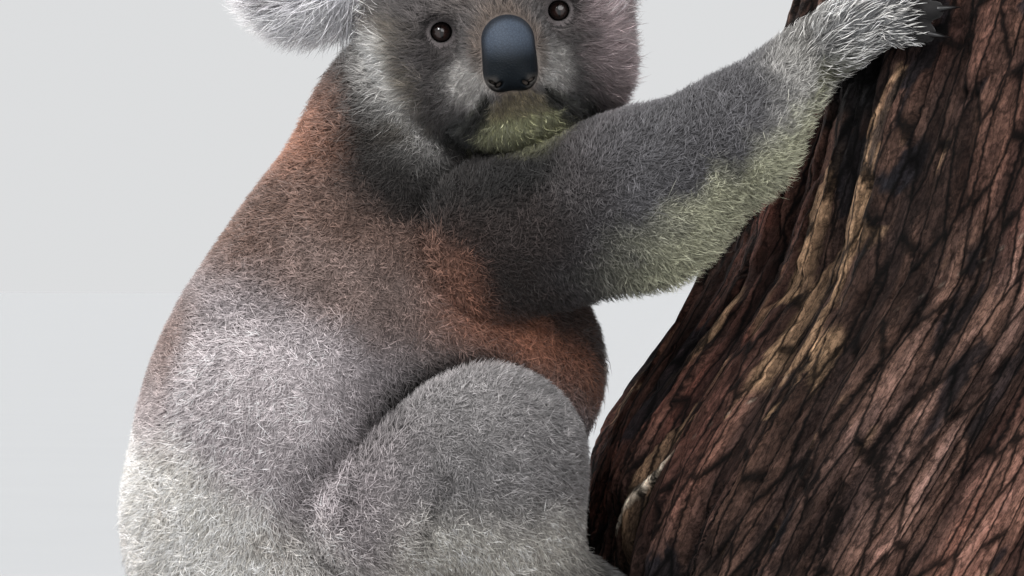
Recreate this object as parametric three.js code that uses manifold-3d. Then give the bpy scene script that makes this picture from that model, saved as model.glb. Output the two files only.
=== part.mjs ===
// A life-size koala clinging to a leaning length of stringybark trunk, on a round display stand.
// Millimetres, +Z up. The animal is laid out in its own stage frame: x towards the trunk, y towards
// the animal's left side, z up. The whole display is then turned by STAGE_TURN about Z, with the
// centre of the base's underside at the origin.
import * as THREE from "three";
import { SimplifyModifier } from "three/addons/modifiers/SimplifyModifier.js";
import { mergeVertices } from "three/addons/utils/BufferGeometryUtils.js";
import Module from "manifold-3d";

const wasm = await Module();
wasm.setup();

const rad = THREE.MathUtils.degToRad;
const vec = (x, y, z) => new THREE.Vector3(x, y, z);

// ---- driving dimensions -------------------------------------------------------------------------
const STAGE_TURN = 45; // degrees that the finished display is turned about Z
const GAP = 0.5; // how far a piece is held back from the one that it is fitted to
const CUT = 0.4; // width of the thin cuts at elbows, wrists, knees, ankles and neck, and of the rods' gaps

const BASE_RADIUS = 270;
const BASE_HEIGHT = 24;
const BASE_CENTRE = [150, 40];
const ROD_RADIUS = 12;
const ROD_SPOTS = [
  [110, 50],
  [290, 50],
];

const LOG_RADIUS = 180;
const LOG_BOTTOM = 64;
const LOG_TOP = 604;
const LOG_DEPTH = 50; // y of the trunk's middle line
const LOG_RINGS = 8;
const LOG_LEAN = 0.3; // how far the middle line moves in x for each millimetre of height
const LOG_FOOT_X = 188; // x of the middle line at floor level
const ELBOW_DEPTH = 34; // the trunk's crook, where its middle line bends back towards the animal
const ELBOW_HEIGHT = 250;
const ELBOW_SPREAD = 75;
const RIBS = 21; // ridges of bark round the trunk, with furrows between them
const RIB_POINTS = 4; // points across one ridge and its furrow
const FURROW_DEPTH = 10;
const FURROW_SLANT = 0.28; // how much further than the trunk the furrows lean, below SLANT_TOP
const SLANT_TOP = 350;
const LOG_SIDES = RIBS * RIB_POINTS;

const BODY_X = -80; // the torso's own upright axis
const BODY_YAW = 12; // degrees that the chest is turned towards the far side
const EYE_MIDDLE = vec(-7, -76, 499); // the point midway between the eyes
const HEAD_YAW = 3; // the face looks back past the right shoulder, then turns this far to the trunk
const HEAD_PITCH = 5; // and dips by this much
const HEAD_ROLL = 10.6; // and leans over by this much

// Grid steps that the surfaces are drawn with, and the share of their vertices that is kept.
const KEPT = 0.215;
const BODY_CELL = 16;
const HEAD_CELL = 12;
const EAR_CELL = 12;
const NOSE_CELL = 7;
const PAW_CELL = 8.5;
const SLEEVE_CELL = 22;
const TORSO_BLEND = 34; // width over which the forms of the torso flow into each other
const LIMB_BLEND = 16; // the same for the limbs
const SLEEVE = 8; // how far outside a limb's own form it is parted from the torso

// ---- colours ------------------------------------------------------------------------------------
const coat = (color) => new THREE.MeshStandardMaterial({ color, roughness: 0.95 });
const FUR_GREY = coat(0x8f8a8a);
const FUR_BROWN = coat(0x7d5f50);
const FUR_PALE = coat(0xb4b1ac);
const HORN = new THREE.MeshStandardMaterial({ color: 0x1c1b1d, roughness: 0.4 });
const NOSE_SKIN = new THREE.MeshStandardMaterial({ color: 0x3c4650, roughness: 0.6 });
const EYE_GLOSS = new THREE.MeshStandardMaterial({ color: 0x2a211d, roughness: 0.08 });
const BARK = new THREE.MeshStandardMaterial({ color: 0x54392d, roughness: 0.95 });
const WALNUT = new THREE.MeshStandardMaterial({ color: 0x3b2a20, roughness: 0.45 });
const STEEL = new THREE.MeshStandardMaterial({ color: 0x8d9094, roughness: 0.35, metalness: 1 });

// ---- distance fields ----------------------------------------------------------------------------
// Each form is a function from a point to about its distance from the form's surface.

// An ellipsoid; turn is an optional rotation of its axes.
function ball(centre, radii, turn) {
  const back = turn ? turn.clone().invert() : null;
  const r = vec(...radii);
  return (p) => {
    const q = p.clone().sub(centre);
    if (back) q.applyQuaternion(back);
    q.divide(r);
    const k0 = q.length();
    const k1 = q.divide(r).length();
    return k1 < 1e-9 ? -Math.min(r.x, r.y, r.z) : (k0 * (k0 - 1)) / k1;
  };
}

// A tapered limb with round ends.
function limb(a, b, ra, rb) {
  const axis = b.clone().sub(a);
  const length2 = axis.lengthSq();
  return (p) => {
    const q = p.clone().sub(a);
    const h = THREE.MathUtils.clamp(q.dot(axis) / length2, 0, 1);
    return q.addScaledVector(axis, -h).length() - (ra + (rb - ra) * h);
  };
}

// Forms flowing into each other over about the width given.
function blend(width, ...forms) {
  return (p) =>
    forms
      .map((f) => f(p))
      .reduce((a, b) => {
        const h = Math.max(width - Math.abs(a - b), 0) / width;
        return Math.min(a, b) - (h * h * width) / 4;
      });
}

function gradient(field, p) {
  const e = 0.5;
  const along = (x, y, z) =>
    field(vec(p.x + x, p.y + y, p.z + z)) - field(vec(p.x - x, p.y - y, p.z - z));
  return vec(along(e, 0, 0), along(0, e, 0), along(0, 0, e)).divideScalar(2 * e);
}

// The field's surface inside a box, as a mesh with one vertex in each grid cell that it crosses.
function surface(field, low, high, cell) {
  const size = high.clone().sub(low).divideScalar(cell).ceil();
  const [nx, ny, nz] = [size.x + 1, size.y + 1, size.z + 1];
  const at = (i, j, k) => i + nx * (j + ny * k);
  const point = (i, j, k) => vec(i, j, k).multiplyScalar(cell).add(low);
  const value = new Float32Array(nx * ny * nz);
  for (let k = 0; k < nz; k++)
    for (let j = 0; j < ny; j++)
      for (let i = 0; i < nx; i++) value[at(i, j, k)] = field(point(i, j, k));

  const steps = [0, 1];
  const corners = steps.flatMap((k) => steps.flatMap((j) => steps.map((i) => [i, j, k])));
  const edges = [];
  corners.forEach((a, m) =>
    corners.slice(m + 1).forEach((b) => {
      if (Math.abs(a[0] - b[0]) + Math.abs(a[1] - b[1]) + Math.abs(a[2] - b[2]) === 1)
        edges.push([a, b]);
    }),
  );
  const vertexOf = new Int32Array(nx * ny * nz).fill(-1);
  const vertices = [];
  for (let k = 0; k < nz - 1; k++)
    for (let j = 0; j < ny - 1; j++)
      for (let i = 0; i < nx - 1; i++) {
        const sum = vec(0, 0, 0);
        let crossings = 0;
        for (const [a, b] of edges) {
          const va = value[at(i + a[0], j + a[1], k + a[2])];
          const vb = value[at(i + b[0], j + b[1], k + b[2])];
          if (va < 0 === vb < 0) continue;
          const pa = point(i + a[0], j + a[1], k + a[2]);
          const pb = point(i + b[0], j + b[1], k + b[2]);
          sum.add(pa.lerp(pb, va / (va - vb)));
          crossings++;
        }
        if (!crossings) continue;
        const p = sum.divideScalar(crossings);
        for (let n = 0; n < 3; n++) {
          const g = gradient(field, p);
          p.addScaledVector(g, -field(p) / Math.max(g.lengthSq(), 0.25));
        }
        vertexOf[at(i, j, k)] = vertices.length;
        vertices.push(p);
      }

  const triangles = [];
  const quad = (a, b, c, d, outward) => {
    const [A, B, C, D] = [a, b, c, d].map((n) => vertices[n]);
    const pairs = A.distanceTo(C) < B.distanceTo(D) ? [[a, b, c], [a, c, d]] : [[a, b, d], [b, c, d]];
    pairs.forEach(([x, y, z]) => triangles.push(...(outward ? [x, y, z] : [x, z, y])));
  };
  for (let k = 1; k < nz - 1; k++)
    for (let j = 1; j < ny - 1; j++)
      for (let i = 1; i < nx - 1; i++) {
        const inside = value[at(i, j, k)] < 0;
        const c = (di, dj, dk) => vertexOf[at(i + di, j + dj, k + dk)];
        if (inside !== value[at(i + 1, j, k)] < 0)
          quad(c(0, -1, -1), c(0, 0, -1), c(0, 0, 0), c(0, -1, 0), inside);
        if (inside !== value[at(i, j + 1, k)] < 0)
          quad(c(-1, 0, -1), c(-1, 0, 0), c(0, 0, 0), c(0, 0, -1), inside);
        if (inside !== value[at(i, j, k + 1)] < 0)
          quad(c(-1, -1, 0), c(0, -1, 0), c(0, 0, 0), c(-1, 0, 0), inside);
      }
  return [vertices, triangles];
}

// ---- solids -------------------------------------------------------------------------------------
function solidOf(vertices, triangles) {
  const vertProperties = new Float32Array(vertices.flatMap((v) => [v.x, v.y, v.z]));
  return new wasm.Manifold(
    new wasm.Mesh({ numProp: 3, vertProperties, triVerts: new Uint32Array(triangles) }),
  );
}

// A form as a solid, and the same solid grown all round by GAP, to cut its neighbours with.
// The vertices that add least to its shape are taken out first.
async function fitted(field, [low, high], cell) {
  const [vertices, triangles] = surface(field, low, high, cell);
  const full = new THREE.BufferGeometry().setFromPoints(vertices).setIndex(triangles);
  const removed = Math.floor(vertices.length * (1 - KEPT));
  const { index, attributes } = await new SimplifyModifier().modify(full, removed);
  const points = [];
  for (let n = 0; n < attributes.position.count; n++)
    points.push(new THREE.Vector3().fromBufferAttribute(attributes.position, n));
  const grown = points.map((p) => p.clone().addScaledVector(gradient(field, p).normalize(), GAP));
  return { solid: solidOf(points, index.array), grown: solidOf(grown, index.array) };
}

function fromGeometry(geometry) {
  geometry.deleteAttribute("normal");
  geometry.deleteAttribute("uv");
  const merged = mergeVertices(geometry, 1e-4);
  return new wasm.Manifold(
    new wasm.Mesh({
      numProp: 3,
      vertProperties: new Float32Array(merged.attributes.position.array),
      triVerts: new Uint32Array(merged.index.array),
    }),
  );
}

const largest = (solid) =>
  solid.decompose().reduce((a, b) => (b.volume() > a.volume() ? b : a));

const carve = (solid, ...cutters) =>
  largest(cutters.reduce((left, cutter) => left.subtract(cutter), solid));

// A thin disc square to a direction, to part two pieces of the body with.
function slice(point, direction, radius) {
  const turn = new THREE.Quaternion().setFromUnitVectors(vec(0, 1, 0), direction.clone().normalize());
  return fromGeometry(
    new THREE.CylinderGeometry(radius, radius, CUT, 16)
      .applyQuaternion(turn)
      .translate(point.x, point.y, point.z),
  );
}

// The part of a solid that lies further than a distance beyond a point, along the direction.
function beyond(solid, point, direction, distance) {
  const n = direction.clone().normalize();
  return largest(solid.trimByPlane(n.toArray(), n.dot(point) + distance));
}

function meshOf(name, solid, material) {
  const { vertProperties, triVerts, numProp } = solid.getMesh();
  const positions = [];
  for (let i = 0; i < vertProperties.length; i += numProp)
    positions.push(...vertProperties.subarray(i, i + 3));
  const geometry = new THREE.BufferGeometry();
  geometry.setAttribute("position", new THREE.Float32BufferAttribute(positions, 3));
  geometry.setIndex([...triVerts]);
  geometry.computeVertexNormals();
  const mesh = new THREE.Mesh(geometry, material);
  mesh.name = name;
  return mesh;
}

// ---- the trunk ----------------------------------------------------------------------------------
const elbow = (z) => ELBOW_DEPTH * Math.exp(-(((z - ELBOW_HEIGHT) / ELBOW_SPREAD) ** 2));
const logMiddle = (z) => LOG_FOOT_X + LOG_LEAN * z - elbow(z);

// Distance of the bark from the middle line: broad flutes that wind slowly up the trunk.
function logRadius(angle, z) {
  const wind = angle + z / 420;
  return LOG_RADIUS + 4 * Math.sin(3 * wind + 1) + 3 * Math.sin(7 * wind) + 1.5 * Math.sin(13 * wind + 2);
}

// A point at a height above the bark. Angle 0 faces the animal; positive angles go to its right.
function onBark(degrees, z, above = 0) {
  const angle = rad(degrees);
  const r = logRadius(angle, z) + above;
  return vec(logMiddle(z) - r * Math.cos(angle), LOG_DEPTH - r * Math.sin(angle), z);
}

// How far round the trunk, in radians, the bark's fibres have wound by a height. They take no part in
// the trunk's crook, so on the animal's right they run straight.
const fibreTurn = (z) => (FURROW_SLANT * Math.min(z - SLANT_TOP, 0) + elbow(z)) / LOG_RADIUS;

// How deep the furrows between the ridges are; wind is the angle with the fibres' turn taken off.
function furrowDepth(wind, z) {
  const wave = Math.sin(RIBS * wind + 0.9 * Math.sin(4 * wind + z / 130));
  return FURROW_DEPTH * ((1 - wave) / 2) ** 1.5;
}

// The trunk, its bark furrowed or smooth, with all its faces moved out by grow.
function logSolid(furrowed, grow) {
  const vertices = [];
  const triangles = [];
  for (let ring = 0; ring <= LOG_RINGS; ring++) {
    const z = LOG_BOTTOM - grow + ((LOG_TOP - LOG_BOTTOM + 2 * grow) * ring) / LOG_RINGS;
    for (let side = 0; side < LOG_SIDES; side++) {
      const wind = (-2 * Math.PI * side) / LOG_SIDES;
      const above = grow - (furrowed ? furrowDepth(wind, z) : 0);
      vertices.push(onBark(THREE.MathUtils.radToDeg(wind + fibreTurn(z)), z, above));
    }
  }
  const at = (ring, side) => ring * LOG_SIDES + (side % LOG_SIDES);
  for (let ring = 0; ring < LOG_RINGS; ring++)
    for (let side = 0; side < LOG_SIDES; side++) {
      const [a, b] = [at(ring, side), at(ring, side + 1)];
      const [c, d] = [at(ring + 1, side + 1), at(ring + 1, side)];
      triangles.push(a, c, b, a, d, c);
    }
  for (const [ring, up] of [[0, false], [LOG_RINGS, true]]) {
    const hub = vertices.length;
    const z = vertices[at(ring, 0)].z;
    vertices.push(vec(logMiddle(z), LOG_DEPTH, z));
    for (let side = 0; side < LOG_SIDES; side++) {
      const [a, b] = [at(ring, side), at(ring, side + 1)];
      triangles.push(hub, ...(up ? [b, a] : [a, b]));
    }
  }
  return solidOf(vertices, triangles);
}

// ---- the torso ----------------------------------------------------------------------------------
const yaw = new THREE.Quaternion().setFromAxisAngle(vec(0, 0, 1), rad(BODY_YAW));

// A point given as forward, to the animal's left, and up, from the torso's own axis.
const inBody = (forward, left, up) =>
  vec(forward, left, 0).applyQuaternion(yaw).add(vec(BODY_X, 0, up));

const bodyBall = (forward, left, up, radii) => ball(inBody(forward, left, up), radii, yaw);

const torsoForms = [
  bodyBall(-52, 0, 215, [97, 98, 108]), // rump
  bodyBall(-22, 0, 305, [98, 94, 94]), // loin
  bodyBall(10, 0, 370, [86, 82, 82]), // chest and shoulder blades
  bodyBall(42, 0, 300, [96, 76, 84]), // belly
  bodyBall(26, 0, 215, [88, 74, 78]), // groin
  bodyBall(-50, -34, 270, [74, 72, 76]), // right haunch
  bodyBall(-50, 34, 270, [74, 72, 76]), // left haunch
  bodyBall(28, -6, 444, [64, 66, 60]), // neck
];

// ---- the limbs ----------------------------------------------------------------------------------
// side is -1 for the animal's right limb and 1 for its left.
const ARMS = {
  right: {
    side: -1,
    joints: [vec(-14, -48, 373), vec(74, -80, 398), vec(124, -96, 430), onBark(37, 476, 26)],
    radii: [50, 50, 36, 22],
    palm: [46, 497],
    palmRadius: 21,
    fan: [-12, 8, 32, 50, 70],
  },
  left: {
    side: 1,
    joints: [vec(-46, 60, 366), vec(20, 122, 380), vec(62, 156, 396), onBark(-37, 424, 26)],
    radii: [50, 48, 36, 22],
    palm: [-47, 443],
    palmRadius: 21,
    fan: [-12, 8, 32, 50, 70],
  },
};
const legOn = (side) => ({
  side,
  joints: [inBody(-26, side * 50, 228), inBody(50, side * 88, 248), inBody(72, side * 74, 182)],
  radii: [62, 54, 40],
  palm: [8 - side * 16, 158],
  palmRadius: 27,
  fan: [-100, -28, -17, 4, 26],
});
const LEGS = { right: legOn(-1), left: legOn(1) };
const PALM_HEIGHT = 15; // of the middle of a palm above the bark
const DIGIT_LENGTH = 30;
const DIGIT_RADIUS = 8;
const CLAW_LENGTH = 19;

// The line of one digit over the bark: palm end, knuckle, tip, and the claw's way on from the tip.
function digitLine({ side, palm: [angle, z] }, degrees) {
  const away = (distance, above) => {
    const across = distance * Math.cos(rad(degrees));
    const up = distance * Math.sin(rad(degrees));
    const turn = THREE.MathUtils.radToDeg(across / LOG_RADIUS);
    return onBark(angle - side * turn, z + up, above);
  };
  return {
    root: away(6, 13),
    knuckle: away(DIGIT_LENGTH * 0.75, 15),
    tip: away(DIGIT_LENGTH * 1.25, 9),
    claw: [0, 0.35, 0.7, 1].map((t) =>
      away(DIGIT_LENGTH * 1.25 + CLAW_LENGTH * (t - 0.35 * t * t), 11 + 4 * t - 15 * t * t),
    ),
  };
}

function pawForm(limbPlan) {
  const wrist = limbPlan.joints.at(-1);
  const [angle, z] = limbPlan.palm;
  const palm = onBark(angle, z, PALM_HEIGHT);
  const digits = limbPlan.fan.flatMap((degrees) => {
    const { root, knuckle, tip } = digitLine(limbPlan, degrees);
    return [
      limb(root, knuckle, DIGIT_RADIUS + 2, DIGIT_RADIUS + 0.5),
      limb(knuckle, tip, DIGIT_RADIUS + 0.5, DIGIT_RADIUS - 1),
    ];
  });
  return blend(8, limb(wrist, palm, limbPlan.radii.at(-1), limbPlan.palmRadius), ...digits);
}

const limbForms = ({ joints, radii }) =>
  joints.slice(1).map((to, n) => limb(joints[n], to, radii[n], radii[n + 1]));

// ---- the head -----------------------------------------------------------------------------------
// Its own frame: x to the animal's left, y up the face, z out of the face, from the middle of the eyes.
const headTurn = new THREE.Quaternion().setFromRotationMatrix(
  new THREE.Matrix4()
    .makeRotationX(rad(90))
    .multiply(new THREE.Matrix4().makeRotationZ(rad(HEAD_ROLL)))
    .multiply(new THREE.Matrix4().makeRotationY(rad(HEAD_YAW)))
    .multiply(new THREE.Matrix4().makeRotationX(rad(HEAD_PITCH))),
);
const inHead = (x, y, z) => vec(x, y, z).applyQuaternion(headTurn).add(EYE_MIDDLE);
const headBall = (x, y, z, radii) => ball(inHead(x, y, z), radii, headTurn);
const bothSides = (x, y, z, radii) => [headBall(-x, y, z, radii), headBall(x, y, z, radii)];

const EYE = { x: 34, y: 0, z: -7, radius: 8.5, socketRadius: 13, socketZ: 11 };
const headForm = blend(
  14,
  headBall(0, 12, -44, [76, 58, 68]), // skull
  headBall(0, 4, -20, [52, 46, 26]), // brow
  ...bothSides(43, -16, -38, [47, 48, 46]), // cheeks
  ...bothSides(38, -42, -34, [37, 30, 34]), // cheek tufts
  headBall(0, -24, 6, [29, 33, 33]), // muzzle
  ...bothSides(14, -42, 5, [20, 18, 22]), // lips
  headBall(0, -54, -8, [38, 25, 32]), // chin
);
const noseForm = blend(
  6,
  headBall(0, -13, 26, [15, 16, 13]),
  headBall(0, -28, 31, [17, 17, 13]),
  ...bothSides(9, -36, 30, [8.5, 9, 10]),
);

// An ear: a thick shaggy disc, hollowed in front.
const EAR = { x: 106, y: 52, z: -56, width: 52, height: 57, thickness: 23, splay: 25, lean: 12 };
function earForm(sign) {
  const tilt = new THREE.Quaternion().setFromEuler(
    new THREE.Euler(0, rad(sign * EAR.splay), rad(-sign * EAR.lean)),
  );
  const turn = headTurn.clone().multiply(tilt);
  const middle = inHead(sign * EAR.x, EAR.y, EAR.z);
  const shell = ball(middle, [EAR.width, EAR.height, EAR.thickness], turn);
  const hollow = ball(
    middle.clone().add(vec(0, 0, EAR.thickness * 1.5).applyQuaternion(turn)),
    [EAR.width * 0.62, EAR.height * 0.62, EAR.thickness],
    turn,
  );
  const root = ball(inHead(sign * 78, 38, -52), [34, 34, 26], headTurn);
  const whole = blend(8, shell, root);
  return (p) => Math.max(whole(p), -hollow(p));
}

// ---- building the nodes -------------------------------------------------------------------------
const display = new THREE.Group();
const stage = new THREE.Group();
display.rotation.z = rad(STAGE_TURN);
display.add(stage);
stage.position.set(-BASE_CENTRE[0], -BASE_CENTRE[1], 0);
const add = (name, solid, material) => stage.add(meshOf(name, solid, material));

// How far past their given points the boxes that surfaces are drawn in reach.
const HEAD_MARGIN = 125;
const NOSE_MARGIN = 50;
const EAR_MARGIN = 95;
const BODY_MARGIN = 125;
const SLEEVE_MARGIN = 110;
const PAW_MARGIN = 78;

function boxAround(points, margin) {
  const box = new THREE.Box3().setFromPoints(points).expandByScalar(margin);
  return [box.min, box.max];
}

add("perch_log", logSolid(true, 0), BARK);
const logGrown = logSolid(false, GAP);

// Head, with the nose and eyes set into it and an ear on each side.
const head = await fitted(headForm, boxAround([inHead(0, -5, -40)], HEAD_MARGIN), HEAD_CELL);
const nose = await fitted(noseForm, boxAround([inHead(0, -20, 25)], NOSE_MARGIN), NOSE_CELL);
const faceBall = (x, y, z, radius) =>
  fromGeometry(
    new THREE.SphereGeometry(radius, 10, 6)
      .rotateX(rad(90))
      .applyQuaternion(headTurn)
      .translate(...inHead(x, y, z).toArray()),
  );
const eyeSolid = (sign, grow) => faceBall(sign * EYE.x, EYE.y, EYE.z, EYE.radius + grow);
const socket = (sign) => faceBall(sign * EYE.x, EYE.y, EYE.socketZ, EYE.socketRadius);
const sockets = [-1, 1].flatMap((sign) => [socket(sign), eyeSolid(sign, GAP)]);
add("nose_pad", largest(nose.solid), NOSE_SKIN);
add("head", carve(head.solid, nose.grown, ...sockets), FUR_GREY);
for (const [side, sign] of [["right", -1], ["left", 1]]) {
  add(`eye_${side}`, eyeSolid(sign, 0), EYE_GLOSS);
  const box = boxAround([inHead(sign * EAR.x, EAR.y, EAR.z)], EAR_MARGIN);
  const ear = await fitted(earForm(sign), box, EAR_CELL);
  add(`ear_${side}`, carve(ear.solid, head.grown), FUR_PALE);
}

// A claw: a curved spike along its line, deeper than it is wide.
const CLAW_HALF_WIDTH = 2.2;
const CLAW_HALF_DEPTH = 3.2;
const CLAW_TIP = 0.3; // what is left of both at the tip

function clawSolid(line, fitTo) {
  const sides = 5;
  const path = new THREE.CatmullRomCurve3(line);
  const rings = 4;
  const vertices = [];
  const triangles = [];
  const side = path.getTangent(0).cross(line[0].clone().sub(line.at(-1))).normalize();
  for (let n = 0; n < rings; n++) {
    const t = n / rings;
    const middle = path.getPoint(t);
    const tangent = path.getTangent(t);
    const rise = side.clone().cross(tangent).normalize();
    for (let m = 0; m < sides; m++) {
      const angle = (2 * Math.PI * m) / sides;
      vertices.push(
        middle
          .clone()
          .addScaledVector(side, (CLAW_HALF_WIDTH * (1 - t) + CLAW_TIP) * Math.cos(angle))
          .addScaledVector(rise, (CLAW_HALF_DEPTH * (1 - t) + CLAW_TIP) * Math.sin(angle)),
      );
    }
  }
  const [rootHub, tip] = [vertices.length, vertices.length + 1];
  vertices.push(path.getPoint(0), path.getPoint(1));
  for (let m = 0; m < sides; m++) {
    const next = (m + 1) % sides;
    triangles.push(rootHub, next, m);
    for (let n = 0; n < rings - 1; n++) {
      const [a, b] = [n * sides + m, n * sides + next];
      triangles.push(a, b, b + sides, a, b + sides, a + sides);
    }
    triangles.push((rings - 1) * sides + m, (rings - 1) * sides + next, tip);
  }
  let solid = solidOf(vertices, triangles);
  if (solid.volume() < 0) solid = solidOf(vertices, triangles.toReversed());
  return carve(solid, ...fitTo);
}

// Cuts a solid through a point; gives the piece that lies along the direction, then the other one.
function partAt(solid, point, way, radius) {
  const pieces = solid.subtract(slice(point, way, radius)).decompose();
  const two = pieces.sort((a, b) => b.volume() - a.volume()).slice(0, 2);
  const along = (piece) => {
    const { min, max } = piece.boundingBox();
    return vec(...min).add(vec(...max)).dot(way);
  };
  return two.sort((a, b) => along(b) - along(a));
}

// The whole trunk of the body with its limbs, fitted to the head and the bark.
const plans = [ARMS.right, ARMS.left, LEGS.right, LEGS.left];
const bodyForm = blend(LIMB_BLEND, blend(TORSO_BLEND, ...torsoForms), ...plans.flatMap(limbForms));
const bodyEnds = [inBody(-40, 0, 200), inBody(30, 0, 400)];
const bodyBox = boxAround([...bodyEnds, ...plans.flatMap((plan) => plan.joints)], BODY_MARGIN);
const body = await fitted(bodyForm, bodyBox, BODY_CELL);
let torso = carve(body.solid, head.grown, logGrown);

// Parts a limb from the torso, cuts it at its bend, and adds its paw and claws. The fan's digits have
// claws from number clawedFrom on.
async function addLimb(names, plan, clawedFrom) {
  const { joints, radii } = plan;
  const limbBlend = blend(LIMB_BLEND, ...limbForms(plan));
  const sleeveForm = (p) => limbBlend(p) - SLEEVE;
  const sleeve = await fitted(sleeveForm, boxAround(joints, SLEEVE_MARGIN), SLEEVE_CELL);
  const [end, beforeEnd] = [joints.at(-1), joints.at(-2)];
  const endWay = end.clone().sub(beforeEnd);
  const pawBox = boxAround([end, onBark(...plan.palm, PALM_HEIGHT)], PAW_MARGIN);
  const paw = await fitted(pawForm(plan), pawBox, PAW_CELL);
  const pawGrown = beyond(paw.grown, end, endWay, -CUT / 2);
  const wholeLimb = carve(torso.intersect(sleeve.solid), pawGrown);
  torso = carve(torso, sleeve.grown, pawGrown);
  const bendWay = joints[2].clone().sub(joints[0]);
  const [lower, upper] = partAt(wholeLimb, joints[1], bendWay, radii[1] * 2);
  add(names[0], upper, FUR_GREY);
  add(names[1], lower, FUR_GREY);
  add(names[2], beyond(carve(paw.solid, logGrown), end, endWay, CUT / 2), FUR_PALE);
  plan.fan.slice(clawedFrom).forEach((degrees, n) => {
    const solid = clawSolid(digitLine(plan, degrees).claw, [paw.grown, logGrown]);
    add(`claw_${names[2]}_${n + 1}`, solid, HORN);
  });
}
for (const side of ["right", "left"]) {
  await addLimb([`upper_arm_${side}`, `forearm_${side}`, `hand_${side}`], ARMS[side], 0);
  await addLimb([`thigh_${side}`, `shank_${side}`, `foot_${side}`], LEGS[side], 1);
}
const NECK_CUT = inBody(28, 2, 428);
const NECK_WAY = vec(0.1, 0, 1);
const NECK_RADIUS = 84;
const [neck, trunk] = partAt(torso, NECK_CUT, NECK_WAY, NECK_RADIUS);
add("neck", neck, FUR_BROWN);
add("torso", trunk, FUR_BROWN);

// ---- the stand ----------------------------------------------------------------------------------
const disc = (radius, low, high, [x, y], sides) => {
  const shape = new THREE.CylinderGeometry(radius, radius, high - low, sides);
  const mesh = new THREE.Mesh(shape.rotateX(rad(90)), null);
  mesh.position.set(x, y, (low + high) / 2);
  return mesh;
};
const base = disc(BASE_RADIUS, 0, BASE_HEIGHT, BASE_CENTRE, 40);
base.name = "stand_base";
base.material = WALNUT;
stage.add(base);
ROD_SPOTS.forEach((spot, n) => {
  const rod = disc(ROD_RADIUS, BASE_HEIGHT + CUT, LOG_BOTTOM - CUT, spot, 16);
  rod.name = `stand_rod_${n + 1}`;
  rod.material = STEEL;
  stage.add(rod);
});

export default display;
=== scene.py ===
"""A life-size koala clinging to a length of stringybark trunk, on a round display stand.

Lengths are millimetres in the animal's own stage frame: x towards the trunk, y towards the animal's
left side, z up. world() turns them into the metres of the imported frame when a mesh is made.
"""

import math

import bpy
import numpy as np
from mathutils import Matrix, Vector

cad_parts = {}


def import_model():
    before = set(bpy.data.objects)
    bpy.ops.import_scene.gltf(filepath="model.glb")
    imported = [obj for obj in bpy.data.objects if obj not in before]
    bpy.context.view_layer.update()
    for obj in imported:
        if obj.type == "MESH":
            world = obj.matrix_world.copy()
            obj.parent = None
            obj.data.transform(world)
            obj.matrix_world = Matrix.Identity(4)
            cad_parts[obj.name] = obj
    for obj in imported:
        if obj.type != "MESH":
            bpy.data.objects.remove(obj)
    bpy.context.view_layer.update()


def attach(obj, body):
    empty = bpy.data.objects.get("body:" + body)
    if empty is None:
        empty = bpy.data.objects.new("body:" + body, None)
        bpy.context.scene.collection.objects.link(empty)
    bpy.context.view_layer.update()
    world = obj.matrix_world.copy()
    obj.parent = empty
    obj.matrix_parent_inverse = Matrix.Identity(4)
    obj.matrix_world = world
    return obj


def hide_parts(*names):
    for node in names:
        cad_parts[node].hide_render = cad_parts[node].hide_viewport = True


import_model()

RANDOM = np.random.default_rng(7)


# ---- frames and small helpers -------------------------------------------------------------------
def rotation(axis, degrees):
    return np.array(Matrix.Rotation(math.radians(degrees), 3, axis))


BASE_CENTRE = np.array([150.0, 40.0, 0.0])
STAGE_TURN = rotation("Z", 45)
BODY_MIDDLE = np.array([-80.0, 0.0, 0.0])
BODY_TURN = rotation("Z", 12)
EYE_MIDDLE = np.array([-7.0, -76.0, 499.0])
HEAD_TURN = rotation("X", 90) @ rotation("Z", 10.6) @ rotation("Y", 3) @ rotation("X", 5)


def world(points):
    """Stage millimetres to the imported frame's metres."""
    return (np.asarray(points, float) - BASE_CENTRE) @ STAGE_TURN.T / 1000


def in_body(forward, left, up):
    return BODY_TURN @ np.array([forward, left, up], float) + BODY_MIDDLE


def in_head(x, y, z):
    return HEAD_TURN @ np.array([x, y, z], float) + EYE_MIDDLE


def body_frame(points):
    """Stage points as forward, left and up from the torso's upright axis."""
    return (points - BODY_MIDDLE) @ BODY_TURN


def head_frame(points):
    """Stage points as left, up the face and out of the face, from the middle of the eyes."""
    return (points - EYE_MIDDLE) @ HEAD_TURN


def length(v):
    return np.sqrt((v * v).sum(-1))


def unit(v):
    return v / np.maximum(length(v), 1e-9)[..., None]


def stacked(*columns):
    return np.stack(columns, -1)


def ease(low, high, value):
    """0 up to low, 1 from high on, and smooth between; low may be the larger."""
    t = np.clip((value - low) / (high - low), 0, 1)
    return t * t * (3 - 2 * t)


def mix(a, b, share):
    return a + (b - a) * share


def bell(value, width):
    """1 where the value is 0, falling to 0 on both sides of it."""
    return np.exp(-((value / width) ** 2))


def linear(*srgb):
    """An sRGB colour, each channel 0 to 255, as linear light."""
    c = np.array(srgb, float) / 255
    return np.where(c <= 0.04045, c / 12.92, ((c + 0.055) / 1.055) ** 2.4)


def lattice(ix, iy, iz, seed):
    """A repeatable value from 0 to 1 for each whole-number point of space."""
    h = (ix * 73856093) ^ (iy * 19349663) ^ (iz * 83492791) ^ (seed * 668265263)
    h = ((h ^ (h >> 13)) * 1274126177) & 0xFFFFFFFF
    return ((h ^ (h >> 16)) & 0xFFFFFF) / 0xFFFFFF


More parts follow.
